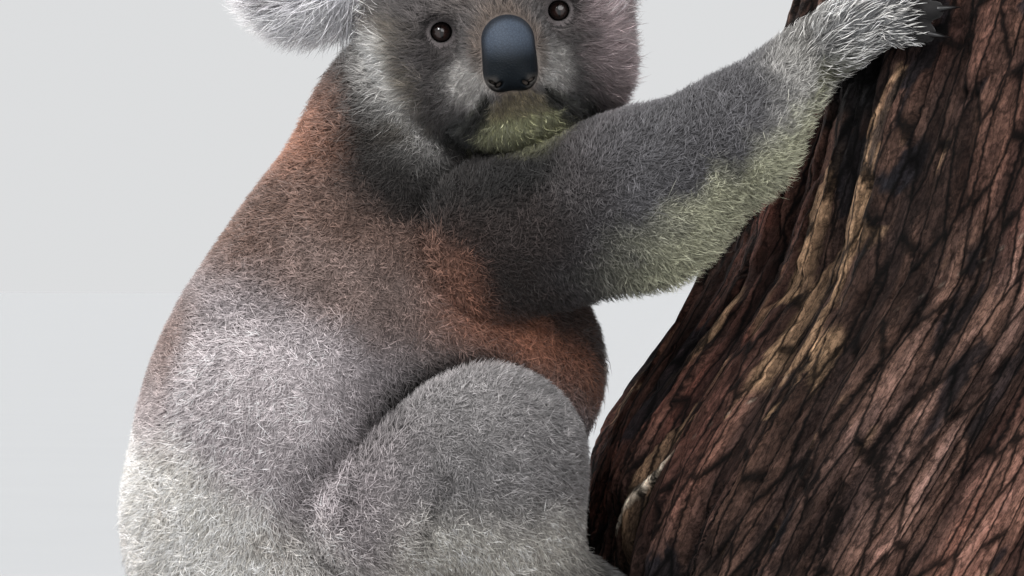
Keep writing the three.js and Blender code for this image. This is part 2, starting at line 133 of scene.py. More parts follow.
def noise(points, size, seed=0):
    """Smooth noise from -1 to 1, with features of about the size given (a number or one per axis)."""
    p = points / np.asarray(size, float)
    cell = np.floor(p).astype(np.int64)
    t = p - cell
    t = t * t * (3 - 2 * t)
    total = 0
    for corner in np.ndindex(2, 2, 2):
        weight = np.prod(np.where(corner, t, 1 - t), -1)
        total = total + weight * lattice(*(cell + corner).T, seed)
    return 2 * total - 1


# ---- the animal's forms -------------------------------------------------------------------------
# Each form gives the distance from its surface: bare 0 is the coat's outline, bare 1 the skin under it.
class Ball:
    """An ellipsoid under a coat, which lies along `lie` or away from the point `lie_from`."""

    def __init__(self, region, centre, radii, turn, coat, lie=None, lie_from=None):
        self.region, self.centre, self.turn, self.coat = region, np.asarray(centre, float), turn, coat
        self.radii = np.array(radii, float)
        self.lie, self.lie_from = lie, lie_from

    def distance(self, points, bare):
        r = self.radii - np.multiply(bare, self.coat)
        q = ((points - self.centre) @ self.turn) / r
        k0 = length(q)
        return k0 * (k0 - 1) / np.maximum(length(q / r), 1e-9)

    def lie_at(self, points):
        if self.lie_from is not None:
            return unit(points - self.lie_from)
        return np.broadcast_to(self.lie, points.shape)


class Limb:
    """A tapered length with round ends. Its coat lies along it."""

    def __init__(self, region, a, b, ra, rb, coat):
        self.region, self.a, self.b, self.coat = region, np.asarray(a, float), np.asarray(b, float), coat
        self.ra, self.rb = ra, rb
        self.lie = unit(self.b - self.a)

    def distance(self, points, bare):
        axis = self.b - self.a
        q = points - self.a
        h = np.clip(q @ axis / (axis @ axis), 0, 1)
        return length(q - h[:, None] * axis) - (self.ra + (self.rb - self.ra) * h - bare * self.coat)

    def lie_at(self, points):
        return np.broadcast_to(self.lie, points.shape)


def blended(width, fields):
    """Forms flowing into each other over about the width given."""
    total = fields[0]
    for field in fields[1:]:
        h = np.maximum(width - np.abs(total - field), 0) / width
        total = np.minimum(total, field) - h * h * width / 4
    return total


def carved(field, cutter, width):
    """A form with another one taken out of it, its edge rounded over the width."""
    return -blended(width, [-field, cutter])


# The trunk's own shape: a leaning middle line with a crook, and flutes that wind round it.
LOG_RADIUS = 180
LOG_BOTTOM = 64
LOG_TOP = 604
LOG_DEPTH = 50  # how far the trunk's middle lies to the animal's left
BARK_GAP = 0.8  # between the bark and the skin that lies on it


def elbow(z):
    return 34 * bell(z - 250, 75)


def log_middle(z):
    return 188 + 0.3 * z - elbow(z)


def log_radius(angle, z):
    wind = angle + z / 420
    return LOG_RADIUS + 4 * np.sin(3 * wind + 1) + 3 * np.sin(7 * wind) + 1.5 * np.sin(13 * wind + 2)


def on_bark(degrees, z, above=0.0):
    """Points over the bark. Angle 0 faces the animal, and positive angles go to its right."""
    angle = np.radians(degrees)
    r = log_radius(angle, z) + above
    return stacked(log_middle(z) - r * np.cos(angle), LOG_DEPTH - r * np.sin(angle), z + 0 * r)


def from_log_middle(points):
    """How far points lie towards the animal and to its right from the trunk's middle line."""
    return log_middle(points[:, 2]) - points[:, 0], LOG_DEPTH - points[:, 1]


def log_angle(points):
    near, right = from_log_middle(points)
    return np.arctan2(right, near)


def log_distance(points):
    near, right = from_log_middle(points)
    return np.hypot(right, near) - log_radius(log_angle(points), points[:, 2])


DOWN_BACK = BODY_TURN @ unit(np.array([-0.35, 0.0, -1.0]))


def torso_ball(forward, left, up, radii, coat):
    return Ball("torso", in_body(forward, left, up), radii, BODY_TURN, coat, lie=DOWN_BACK)


TORSO = [
    torso_ball(-52, 0, 215, [97, 98, 108], 6.5),  # rump
    torso_ball(-22, 0, 305, [98, 94, 94], 4.2),  # loin
    torso_ball(10, 0, 370, [86, 82, 82], 4.2),  # chest and shoulder blades
    torso_ball(42, 0, 300, [96, 76, 84], 4.5),  # belly
    torso_ball(26, 0, 215, [88, 74, 78], 4.5),  # groin
    torso_ball(-50, -34, 270, [74, 72, 76], 4.5),  # haunches
    torso_ball(-50, 34, 270, [74, 72, 76], 4.5),
    torso_ball(28, -6, 444, [64, 66, 60], 4.5),  # neck
]


class Plan:
    """A limb: its joints and radii, and the palm and fan of digits that lie on the bark."""

    def __init__(self, name, side, joints, radii, palm, palm_radius, fan, coats):
        self.name, self.side, self.joints, self.radii = name, side, joints, radii
        self.palm, self.palm_radius, self.fan = palm, palm_radius, fan
        stretches = zip(joints, joints[1:], radii, radii[1:], coats)
        self.forms = [Limb(name, a, b, ra, rb, coat) for a, b, ra, rb, coat in stretches]


FINGERS = [-12, 8, 32, 50, 70]
TOES = [-100, -28, -17, 4, 26]
WRIST_HEIGHT = 26  # of its middle over the bark


def arm(name, side, joints, wrist, elbow_radius, palm):
    joints = [*joints, on_bark(*wrist, WRIST_HEIGHT)]
    return Plan(name, side, joints, [50, elbow_radius, 36, 22], palm, 21, FINGERS, [4.2, 4.5, 4.5])


def leg(name, side):
    joints = [in_body(-26, side * 50, 228), in_body(50, side * 88, 248), in_body(72, side * 74, 182)]
    return Plan(name, side, joints, [62, 54, 40], (8 - side * 16, 158), 27, TOES, [4.2, 4.5])


RIGHT_ARM = [(-14, -48, 373), (74, -80, 398), (124, -96, 430)]
LEFT_ARM = [(-46, 60, 366), (20, 122, 380), (62, 156, 396)]
PLANS = {
    "arm_right": arm("arm_right", -1, RIGHT_ARM, (37, 476), 50, (46, 497)),
    "arm_left": arm("arm_left", 1, LEFT_ARM, (-37, 424), 48, (-47, 443)),
    "leg_right": leg("leg_right", -1),
    "leg_left": leg("leg_left", 1),
}

DIGIT_LENGTH = 30
DIGIT_TIP = DIGIT_LENGTH * 1.25  # from the palm's middle
DIGIT_RADIUS = 8
CLAW_LENGTH = 19
PALM_HEIGHT = 15
PALM_COAT = 5
DIGIT_COAT = 1.8


def paw_of(name):
    return name.replace("arm", "hand").replace("leg", "foot")


def palm_middle(plan):
    return on_bark(*plan.palm, PALM_HEIGHT)


def along_digit(plan, degrees, distance, above):
    """A point over the bark, a distance out from the palm's middle along a digit."""
    angle, z = plan.palm
    across = distance * math.cos(math.radians(degrees))
    up = distance * math.sin(math.radians(degrees))
    return on_bark(angle - plan.side * math.degrees(across / LOG_RADIUS), z + up, above)


def paw_forms(plan):
    region = paw_of(plan.name)
    forms = [Limb(region, plan.joints[-1], palm_middle(plan), plan.radii[-1], plan.palm_radius, PALM_COAT)]
    for degrees in plan.fan:
        root = along_digit(plan, degrees, 6, 13)
        knuckle = along_digit(plan, degrees, DIGIT_LENGTH * 0.75, 15)
        tip = along_digit(plan, degrees, DIGIT_TIP, 9)
        forms.append(Limb(region, root, knuckle, DIGIT_RADIUS + 2, DIGIT_RADIUS + 0.5, DIGIT_COAT))
        forms.append(Limb(region, knuckle, tip, DIGIT_RADIUS + 0.5, DIGIT_RADIUS - 1, DIGIT_COAT))
    return forms


PAWS = {name: paw_forms(plan) for name, plan in PLANS.items()}

FACE_MIDDLE = in_head(0, -22, 20)


def head_ball(x, y, z, radii, coat):
    return Ball("head", in_head(x, y, z), radii, HEAD_TURN, coat, lie_from=FACE_MIDDLE)


def both_sides(x, y, z, radii, coat):
    return [head_ball(-x, y, z, radii, coat), head_ball(x, y, z, radii, coat)]


HEAD = [
    head_ball(0, 12, -44, [76, 58, 68], 7),  # skull
    head_ball(0, 4, -20, [52, 46, 26], 5),  # brow
    *both_sides(43, -16, -38, [47, 48, 46], [20, 7, 7]),  # cheeks
    *both_sides(38, -42, -34, [37, 30, 34], [14, 8, 8]),  # cheek tufts
    head_ball(0, -24, 6, [29, 33, 33], 3),  # muzzle
    *both_sides(14, -42, 5, [20, 18, 22], 3.5),  # lips
    head_ball(0, -54, -8, [38, 25, 32], 8),  # chin
]
NOSE_TILT = rotation("Z", -6)
NOSE_MIDDLE = np.array([0.0, -19.0, 28.0])


def nose_ball(x, y, z, radii):
    x, y, z = NOSE_TILT @ (np.array([x, y, z]) - NOSE_MIDDLE) + NOSE_MIDDLE
    return Ball("head", in_head(x, y, z), radii, HEAD_TURN @ NOSE_TILT, 0)


NOSE_SKIN = [
    nose_ball(0, -11.5, 26, [15, 14.5, 12.5]),
    nose_ball(0, -24, 30, [15.4, 15, 12]),
    nose_ball(-7, -32.5, 30, [7, 7, 9]),
    nose_ball(7, -32.5, 30, [7, 7, 9]),
]


def nose_frame(points):
    return (head_frame(points) - NOSE_MIDDLE) @ NOSE_TILT + NOSE_MIDDLE


EYE = np.array([33.8, -1.2, -7.0])
EYE_RADIUS = 8.5
LID = 1.5  # thickness of the lids over the eyeball
OPENING = np.array([6.1, 5.8])  # half width and half height between the lids


def eye_in_head(sign):
    return EYE * (sign, 1, 1)


def eye_middle(sign):
    return in_head(*eye_in_head(sign))


EAR_RADII = [52, 57, 23]


class Ear:
    """An ear: a hollowed disc on a root. Its long coat fans out from the root past its edge."""

    def __init__(self, region, sign):
        self.turn = HEAD_TURN @ rotation("Y", sign * 25) @ rotation("Z", -sign * 12)
        self.middle = in_head(sign * 106, 52, -56)
        fan_from = in_head(sign * 78, 34, -50)
        coat = np.array([17, 17, 16.5])
        self.shell = Ball(region, self.middle, EAR_RADII, self.turn, coat, lie_from=fan_from)
        root = in_head(sign * 78, 38, -52)
        self.root = Ball(region, root, [34, 34, 26], HEAD_TURN, 9, lie_from=fan_from)
        self.forms = [self.shell, self.root]

    def distance(self, points, bare):
        whole = blended(8, [form.distance(points, bare) for form in self.forms])
        depth, radii = (12, [26, 30, 10]) if bare else (34.5, [52 * 0.62, 57 * 0.62, 23])
        hollow = Ball("", self.middle + self.turn @ np.array([0, 0, depth]), radii, self.turn, 0)
        return carved(whole, hollow.distance(points, 0), 1.0 + 3 * bare)


EARS = {"ear_right": Ear("ear_right", -1), "ear_left": Ear("ear_left", 1)}


LOCAL_MARGIN = 30


def local(points, centre, size, field):
    """A form that is worked out only near the ball of that size which holds it."""
    value = length(points - centre) - size
    near = value < LOCAL_MARGIN
    value[near] = field(points[near])
    return value


def blended_forms(width, forms, bare):
    return lambda points: blended(width, [form.distance(points, bare) for form in forms])


def creased(field, other, depth, width):
    """Two forms that meet in a crease of that depth."""
    return blended(4, [field, other]) + depth * bell(field - other, width)


SOCKET_SIZE = 45
SOCKET_RADIUS = 12.5


def eye_details(field, points):
    """The dished sockets, and the lids with the round openings between them."""
    q = head_frame(points)
    for sign in (-1, 1):
        e = q - eye_in_head(sign)
        near = length(e) < SOCKET_SIZE
        f, d = field[near], e[near]
        f = carved(f, length(d - (0, 0, 17)) - SOCKET_RADIUS, 6)
        f = blended(3.5, [f, length(d) - (EYE_RADIUS + LID)])
        opening = (np.hypot(d[:, 0] / OPENING[0], d[:, 1] / OPENING[1]) - 1) * OPENING.min()
        f = carved(f, np.maximum(opening, 2 - d[:, 2]), 1.0)
        f = carved(f, length(d) - EYE_RADIUS - 0.1, 0.4)
        fold = np.hypot(length(d[:, :2] * (1, 1.05)) - SOCKET_RADIUS, d[:, 2] - 7)
        field[near] = f + 0.8 * bell(fold, 1.6) * ease(2, -6, d[:, 1])
    return field


MOUTH_BEND = 16  # how far from the middle the mouth turns down
MOUTH_CORNER = 29


def mouth_line(points):
    """Distance from the mouth, which runs out and down on each side: with x from the middle, and z."""
    q = head_frame(points)
    x = np.abs(q[:, 0])
    lip_y = -43 - 1.15 * np.maximum(x - MOUTH_BEND, 0)
    gap = np.abs(q[:, 1] - lip_y) * np.where(x > MOUTH_BEND, 0.66, 1)
    return np.hypot(gap, np.maximum(x - MOUTH_CORNER, 0)), x, q[:, 2]


# Folds in the loose skin of each flank, below the thigh's crease, as (forward, up) in the body's frame.
FLANK_FOLDS = [
    [(-2, 275), (-20, 259), (-33, 238), (-36, 210)],
    [(18, 242), (10, 221), (6, 196)],
]


def flank_fold(points, width):
    """1 along the folds of the flanks, falling to 0 beside them."""
    f, left, up = body_frame(points).T
    at = stacked(f, up)
    gap = np.full(len(points), 99.0)
    for fold in FLANK_FOLDS:
        for a, b in zip(np.array(fold), np.array(fold[1:])):
            t = np.clip((at - a) @ (b - a) / ((b - a) @ (b - a)), 0, 1)
            gap = np.minimum(gap, length(at - a - t[:, None] * (b - a)))
    return bell(gap, width) * ease(30, 50, np.abs(left))


HEAD_MIDDLE = in_head(0, 0, -40)
HEAD_SIZE = 100
EAR_SIZE = 75
PAW_SIZE = 80
TORSO_BLEND = 34  # widths over which forms flow into each other
LIMB_BLEND = 16
FACE_BLEND = 20
HEAD_BLEND = 14


def face_field(points):
    head = blended_forms(FACE_BLEND, HEAD, 1)(points)
    line, x, z = mouth_line(points)
    head = head + 2.2 * bell(line, 1.7) * ease(10, 16, x) * ease(-15, 5, z)
    return eye_details(head, points)


def ear_fields(points, bare):
    return [local(points, ear.middle, EAR_SIZE, lambda p: ear.distance(p, bare)) for ear in EARS.values()]


def paw_fields(points, width, bare):
    for name, forms in PAWS.items():
        yield local(points, on_bark(*PLANS[name].palm), PAW_SIZE, blended_forms(width, forms, bare))


def skin_field(points):
    body = blended_forms(TORSO_BLEND, TORSO, 1)(points)
    for name, plan in PLANS.items():
        chain = blended_forms(LIMB_BLEND, plan.forms, 1)(points)
        body = creased(body, chain, 7 if name.startswith("leg") else 1.5, 6)
    body = body + 1.6 * flank_fold(points, 4.5)
    for paw in paw_fields(points, 5, 1):
        body = blended(6, [body, paw])
    head = local(points, HEAD_MIDDLE, HEAD_SIZE, face_field)
    for ear in ear_fields(points, 1):
        head = blended(7, [head, ear])
    return np.maximum(blended(5, [body, head]), BARK_GAP - log_distance(points))


def outline_field(points):
    """The tips of the coat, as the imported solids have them."""
    body = blended_forms(TORSO_BLEND, TORSO, 0)(points)
    for plan in PLANS.values():
        body = blended(LIMB_BLEND, [body] + [form.distance(points, 0) for form in plan.forms])
    head = local(points, HEAD_MIDDLE, HEAD_SIZE, blended_forms(HEAD_BLEND, HEAD, 0))
    return np.minimum.reduce([body, head, *ear_fields(points, 0), *paw_fields(points, 8, 0)])


def gradient(field, points, step=0.4):
    sides = []
    for axis in np.eye(3) * step:
        sides.append(field(points + axis) - field(points - axis))
    return np.stack(sides, -1) / (2 * step)


# ---- drawing a field as a mesh ------------------------------------------------------------------
BLOCK = 4  # grid cells to a side of the blocks that are tried first
FAR = 99  # stands for any distance away from the surface


def ruled(low, high, step, fine=()):
    """Grid lines from low to high in whole blocks, closer inside each (start, end, step) stretch."""
    lines = [low]
    while lines[-1] < high or (len(lines) - 1) % BLOCK:
        at = lines[-1]
        lines.append(at + min([step] + [s for start, end, s in fine if start - step <= at <= end]))
    return np.array(lines)


def sampled(field, lines):
    """The field at the grid's points near its surface; elsewhere only its sign is right."""
    corners = [axis[::BLOCK] for axis in lines]
    middles = [(c[1:] + c[:-1]) / 2 for c in corners]
    halves = np.meshgrid(*[(c[1:] - c[:-1]) / 2 for c in corners], indexing="ij")
    grid = stacked(*np.meshgrid(*middles, indexing="ij"))
    rough = field(grid.reshape(-1, 3)).reshape(grid.shape[:3])
    near = np.abs(rough) < 1.5 * length(stacked(*halves)) + 3
    counts = [len(axis) for axis in lines]
    value = np.full(counts, FAR, np.float32)
    wanted = np.zeros(counts, bool)
    for values, blocks, mark in ((value, rough < 0, -FAR), (wanted, near, True)):
        for low in np.argwhere(blocks) * BLOCK:
            values[tuple(slice(at, at + BLOCK + 1) for at in low)] = mark
    index = np.argwhere(wanted)
    points = stacked(*(lines[axis][index[:, axis]] for axis in range(3)))
    value[wanted] = np.concatenate([field(part) for part in np.array_split(points, 12)])
    return value


PULLS = 2  # times that each vertex is moved on to the surface
LONGEST_PULL = 2.0


def surface(field, lines):
    """The field's surface, with one vertex in each grid cell that it crosses: points and triangles."""
    value = sampled(field, lines)
    inside = value < 0
    shape = np.array(value.shape) - 1
    count = np.zeros(shape, np.int8)
    for corner in np.ndindex(2, 2, 2):
        i, j, k = corner
        count += inside[i : shape[0] + i, j : shape[1] + j, k : shape[2] + k]
    cells = np.argwhere((count > 0) & (count < 8))
    vertex_of = np.full(shape, -1, np.int64)
    vertex_of[tuple(cells.T)] = np.arange(len(cells))

    total = np.zeros((len(cells), 3))
    crossings = np.zeros(len(cells))
    ways = np.eye(3, dtype=int)
    place = lambda index: stacked(*(lines[a][index[:, a]] for a in range(3)))
    for a in np.ndindex(2, 2, 2):
        for axis in range(3):
            if a[axis]:
                continue
            ia, ib = cells + a, cells + a + ways[axis]
            va, vb = value[tuple(ia.T)], value[tuple(ib.T)]
            cross = (va < 0) != (vb < 0)
            t = (va / np.where(cross, va - vb, 1))[:, None]
            total += np.where(cross[:, None], mix(place(ia), place(ib), t), 0)
            crossings += cross
    points = total / crossings[:, None]
    for _ in range(PULLS):
        slope = gradient(field, points)
        move = -field(points)[:, None] * slope / np.maximum((slope**2).sum(-1), 0.3)[:, None]
        points = points + move * np.minimum(1, LONGEST_PULL / np.maximum(length(move), 1e-9))[:, None]

    quads = []
    for axis in range(3):
        u, v = (axis + 1) % 3, (axis + 2) % 3
        low = [slice(1, n) for n in shape]
        high = list(low)
        high[axis] = slice(2, shape[axis] + 1)
        first, second = inside[tuple(low)], inside[tuple(high)]
        at = np.argwhere(first != second) + 1
        outward = first[tuple((at - 1).T)]
        ring = [at - ways[u] - ways[v], at - ways[v], at, at - ways[u]]
        quad = np.stack([vertex_of[tuple(c.T)] for c in ring], -1)
        quads.append(np.where(outward[:, None], quad, quad[:, ::-1]))
    quads = np.concatenate(quads)
    quads = quads[(quads >= 0).all(1)]
    a, b, c, d = (points[quads[:, n]] for n in range(4))
    short = (length(a - c) < length(b - d))[:, None]
    first = np.where(short, quads[:, [0, 1, 2]], quads[:, [0, 1, 3]])
    second = np.where(short, quads[:, [0, 2, 3]], quads[:, [1, 2, 3]])
    return points, np.concatenate([first, second])


def new_piece(name, points, faces, material, tint=None, uv=None):
    """A mesh object from stage points and triangles (or quads), with a colour for each point."""
    mesh = bpy.data.meshes.new(name)
    faces = np.asarray(faces, np.int32)
    sides = faces.shape[1]
    mesh.vertices.add(len(points))
    mesh.vertices.foreach_set("co", world(points).astype(np.float32).ravel())
    mesh.loops.add(faces.size)
    mesh.loops.foreach_set("vertex_index", faces.ravel())
    mesh.polygons.add(len(faces))
    mesh.polygons.foreach_set("loop_start", np.arange(0, faces.size, sides, dtype=np.int32))
    mesh.update(calc_edges=True)
    mesh.shade_smooth()
    if tint is not None:
        colours = np.ones((len(points), 4), np.float32)
        colours[:, :3] = np.clip(tint, 0, 1)
        layer = mesh.color_attributes.new("tint", "FLOAT_COLOR", "POINT")
        layer.data.foreach_set("color", colours.ravel())
    if uv is not None:
        layer = mesh.uv_layers.new(name="OFBake")
        layer.uv.foreach_set("vector", uv.astype(np.float32).ravel())
    mesh.materials.append(material)
    piece = bpy.data.objects.new(name, mesh)
    bpy.context.scene.collection.objects.link(piece)
    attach(piece, "root")
    return piece


# ---- materials ----------------------------------------------------------------------------------
class Nodes:
    """A node material being put together."""

    def __init__(self, name, roughness, **constants):
        self.material = bpy.data.materials.new(name)
        self.material.use_nodes = True
        self.tree = self.material.node_tree
        self.shader = self.tree.nodes["Principled BSDF"]
        self.shader.inputs["Roughness"].default_value = roughness
        for socket, value in constants.items():
            self.shader.inputs[socket.replace("_", " ")].default_value = value
        self.place = self.add("ShaderNodeTexCoord", "Object")

    def add(self, kind, output, sockets=(), **values):
        """A node with these settings, its sockets linked or set: gives the output that is named."""
        node = self.tree.nodes.new(kind)
        for key, value in values.items():
            setattr(node, key, value)
        for socket, value in dict(sockets).items():
            if isinstance(value, bpy.types.NodeSocket):
                self.tree.links.new(value, node.inputs[socket])
            else:
                node.inputs[socket].default_value = value
        return node.outputs[output]

    def mapped(self, place, stretch):
        return self.add("ShaderNodeMapping", "Vector", {"Vector": place, "Scale": stretch})

    def noise(self, scale, detail=4.0, stretch=(1, 1, 1), roughness=0.55):
        sockets = {"Scale": scale, "Detail": detail, "Roughness": roughness}
        sockets["Vector"] = self.mapped(self.place, stretch)
        return self.add("ShaderNodeTexNoise", "Fac", sockets)

    def ramp(self, value, *stops):
        """A colour ramp through (position, colour) stops; a colour is a grey level or an RGB."""
        output = self.add("ShaderNodeValToRGB", "Color", {"Fac": value})
        elements = output.node.color_ramp.elements
        while len(elements) < len(stops):
            elements.new(0.5)
        for element, (position, colour) in zip(elements, stops):
            element.position = position
            element.color = (*np.broadcast_to(colour, 3), 1)
        return output

    def plates(self, scale, stretch, ragged, feature):
        """Angular cells, their edges made ragged: a grey for each cell, or the distance to its edge."""
        sockets = {"Vector": self.place, "Scale": scale * 2.5, "Detail": 3}
        wobble = self.add("ShaderNodeTexNoise", "Color", sockets)
        sockets = {0: wobble, 1: (ragged, ragged, ragged), 2: self.place}
        shifted = self.add("ShaderNodeVectorMath", "Vector", sockets, operation="MULTIPLY_ADD")
        sockets = {"Vector": self.mapped(shifted, stretch), "Scale": scale}
        if feature == "DISTANCE_TO_EDGE":
            return self.add("ShaderNodeTexVoronoi", "Distance", sockets, feature=feature)
        cells = self.add("ShaderNodeTexVoronoi", "Color", sockets, feature=feature)
        return self.add("ShaderNodeSeparateColor", "Red", {"Color": cells})

    def attribute(self, name, output):
        return self.add("ShaderNodeAttribute", output, attribute_name=name)

    def multiplied(self, *colours):
        """All the colours multiplied together."""
        product = colours[0]
        for colour in colours[1:]:
            sockets = {"Factor": 1.0, "A": product, "B": colour}
            kind = {"data_type": "RGBA", "blend_type": "MULTIPLY"}
            product = self.add("ShaderNodeMix", "Result", sockets, **kind)
        return product

    def coloured(self, colour):
        self.tree.links.new(colour, self.shader.inputs["Base Color"])

    def tinted(self, *shades):
        """The mesh's own colours, multiplied by these shades, as the material's colour."""
        self.coloured(self.multiplied(self.attribute("tint", "Color"), *shades))

    def bump(self, height, strength, distance):
        sockets = {"Height": height, "Strength": strength, "Distance": distance}
        normal = self.add("ShaderNodeBump", "Normal", sockets)
        self.tree.links.new(normal, self.shader.inputs["Normal"])


def fur_material(name):
    n = Nodes(name, 0.72, Specular_IOR_Level=0.16, Sheen_Weight=0.08, Sheen_Roughness=0.45)
    n.tinted(n.ramp(n.noise(900, 2), (0.3, 0.86), (0.7, 1.1)))
    return n.material


def skin_material():
    n = Nodes("skin_short_fur", 0.75, Specular_IOR_Level=0.25, Sheen_Weight=0.1)
    short_fur = n.noise(1400, 3)
    n.tinted(n.ramp(short_fur, (0.3, 0.7), (0.7, 1.15)))
    n.bump(short_fur, 0.5, 0.0006)
    return n.material


# ---- markings -----------------------------------------------------------------------------------
GREY = linear(168, 160, 162)
PALE_GREY = linear(208, 200, 202)
DARK_GREY = linear(112, 105, 106)
SHADE_NEAR_BLACK = linear(26, 23, 22)
CHIN_SHADE_BLACK = linear(14, 19, 16)
SHADE_BLACK = linear(16, 18, 18)
BROWN = linear(124, 100, 90)
TAN_GREY = linear(148, 130, 124)
ARM_SHADE_BROWN = linear(56, 46, 43)
RIM_LIT_SHOULDER_TAN = linear(176, 122, 96)
RUST = linear(188, 126, 98)
DARK_RUST = linear(92, 62, 50)
CREAM = linear(255, 251, 244)
WHITE = linear(250, 248, 244)
GREEN_CREAM = linear(188, 188, 162)
UPPER_ARM = linear(54, 46, 44)
FOREARM = linear(96, 95, 98)
WRIST = linear(206, 204, 198)
LEG_GREY = linear(154, 151, 151)
LEG_PALE = linear(246, 242, 232)
PAW_GREY = linear(116, 117, 118)
PAD_BLACK = linear(24, 22, 23)
FACE_GREY = linear(98, 93, 92)
TAN = linear(102, 93, 88)
CHEEK_TAN = linear(132, 122, 102)
EYE_SHADE = linear(72, 68, 68)
MUZZLE = linear(190, 186, 182)
NOSE_RIM = linear(112, 98, 88)
MAROON = linear(212, 190, 192)
CHIN = linear(214, 214, 168)
LIP = linear(138, 126, 98)
OLIVE = linear(52, 54, 38)
MOUTH = linear(20, 20, 14)
EAR_MIDDLE = linear(112, 104, 104)
EAR_WHITE = linear(236, 235, 240)
LID_GREY = linear(98, 92, 92)
LID_EDGE = linear(20, 17, 17)


class Forms:
    """Which forms lie nearest to some skin points, and so how the coat lies there."""

    def __init__(self, points):
        limbs, ears = ([owner.forms for owner in owners.values()] for owners in (PLANS, EARS))
        forms = [*TORSO, *HEAD, *sum([*limbs, *PAWS.values(), *ears], [])]
        gaps = [form.distance(points, 1) for form in forms]
        nearest = np.minimum.reduce(gaps)
        self.share = {}
        self.coat = np.zeros(len(points))
        self.lie = np.zeros_like(points)
        total = np.zeros(len(points))
        for form, gap in zip(forms, gaps):
            weight = np.exp(-(gap - nearest) / 7)
            total += weight
            self.coat += weight * np.max(form.coat)
            self.lie += weight[:, None] * form.lie_at(points)
            self.share[form.region] = self.share.get(form.region, 0) + weight
        self.coat /= total
        for region in self.share:
            self.share[region] = self.share[region] / total
        self.choose_regions()

    def choose_regions(self):
        names = sorted(self.share)
        self.region = np.array(names)[np.argmax([self.share[name] for name in names], 0)]

    def carried(self, pick):
        """The same facts at other points, with pick giving a value there from the values here."""
        there = object.__new__(Forms)
        there.share = {name: pick(share) for name, share in self.share.items()}
        there.coat, there.lie = pick(self.coat), pick(self.lie)
        there.choose_regions()
        return there

    def part(self, *starts):
        """How far each point belongs to the regions whose names start so, 0 to 1."""
        return sum(share for name, share in self.share.items() if name.startswith(starts))


def painted(colour, over, share):
    return mix(colour, over, np.clip(share, 0, 1)[:, None])


def layered(colour, *layers):
    """A colour with others painted over it in turn, each given as (colour, share)."""
    for over, share in layers:
        colour = painted(colour, over, share)
    return colour


def head_gap(points):
    return np.minimum.reduce([form.distance(points, 0) for form in HEAD])


def torso_markings(points):
    """Brown over the shoulders, a rusty band down the flank, grey on the loin, a pale rump and belly;
    painted shade under the head and the arm, and painted rim light on the shoulder.
    """
    f, left, up = body_frame(points).T
    side = np.abs(left)
    wander = 8 * noise(points, 38, 3) + 4 * noise(points, 13, 4)
    loin_top = 356 + wander - 0.3 * (f + 90)
    arm_edge = 376 + wander - 0.6 * np.maximum(f - 7, 0)
    rump_top = 262 + wander - 0.6 * (f + 140)
    spine = ease(78, 22, side + 1.6 * wander) * ease(-90, -120, f) * ease(236, 318, up + wander)
    above = ease(-34, 20, up - loin_top)
    rump = ease(18, -18, up - rump_top)
    mottle = ease(0.25, 0.65, noise(points, [26, 26, 17], 5)) * rump
    return layered(
        GREY,
        (PALE_GREY, ease(-8, -70, f + wander) * ease(344, 305, up)),
        (DARK_GREY, 0.6 * ease(-45, 15, f) * ease(215, 270, up)),
        (BROWN, np.maximum(above, 0.8 * spine)),
        (TAN_GREY, 0.8 * above * ease(45, 15, up - loin_top) * ease(-80, -45, f)),
        (RUST, above * ease(0, 60, f)),
        (DARK_RUST, 0.7 * above * ease(78, 104, f)),
        # dark brown above arm_edge: partly dark fur, partly painted shade under the arm
        (ARM_SHADE_BROWN, 0.9 * ease(-6, 12, up - arm_edge) * ease(-30, 10, f)),
        # near-black close under the head: painted shade over dark fur
        (SHADE_NEAR_BLACK, 0.95 * ease(70, 32, head_gap(points) + wander) * ease(-50, -15, f)),
        # tan along the top of the shoulder: partly tan fur, partly painted rim light
        (RIM_LIT_SHOULDER_TAN, 0.7 * ease(400, 440, up) * ease(-15, -50, f)),
        (CREAM, rump * mix(1.0, 0.5, ease(-80, -30, f))),
        (BROWN, 0.25 * mottle),
        (CREAM, ease(128, 136, f) * ease(60, 34, side)),
    )


ARM_UNDER = unit(np.array([0.55, 0.0, -0.83]))


def arm_markings(points, normals):
    """Near-black at the shoulder, partly painted shade, salt-and-pepper grey on the forearm, a long pale
    fringe below, and painted shade under the chin.
    """
    x = points[:, 0] + 8 * noise(points, 25, 14)
    below = normals @ ARM_UNDER + 0.22 * noise(points, 14, 8)
    under_chin = ease(46, 22, head_gap(points)) * ease(26, 6, head_frame(points)[:, 0])
    shoulder = ease(60, 10, body_frame(points)[:, 0] + 10 * noise(points, 25, 14))
    return layered(
        # near-black upper arm: partly dark fur, partly painted shade
        UPPER_ARM,
        (FOREARM, ease(5, 80, x)),
        (WRIST, ease(132, 174, x)),
        (GREEN_CREAM, ease(0.14, 0.6, below) * ease(30, 100, x)),
        (SHADE_BLACK, 0.9 * under_chin),
        (torso_markings(points), shoulder),
    )


def leg_markings(points):
    forward = body_frame(points)[:, 0]
    low = ease(238, 188, points[:, 2] + 9 * noise(points, 24, 9)) * ease(-55, 0, forward)
    hip = ease(20, -40, forward + 8 * noise(points, 30, 15))
    return layered(LEG_GREY, (LEG_PALE, 0.9 * low), (torso_markings(points), hip))


def from_palm(points):
    return np.min([length(points - palm_middle(plan)) for plan in PLANS.values()], 0)


def paw_markings(points):
    """Long pale hair over the back of the paw, and near-black skin out along the digits."""
    return painted(PAW_GREY, PAD_BLACK, ease(30, 34, from_palm(points) + 2 * noise(points, 7, 16)))


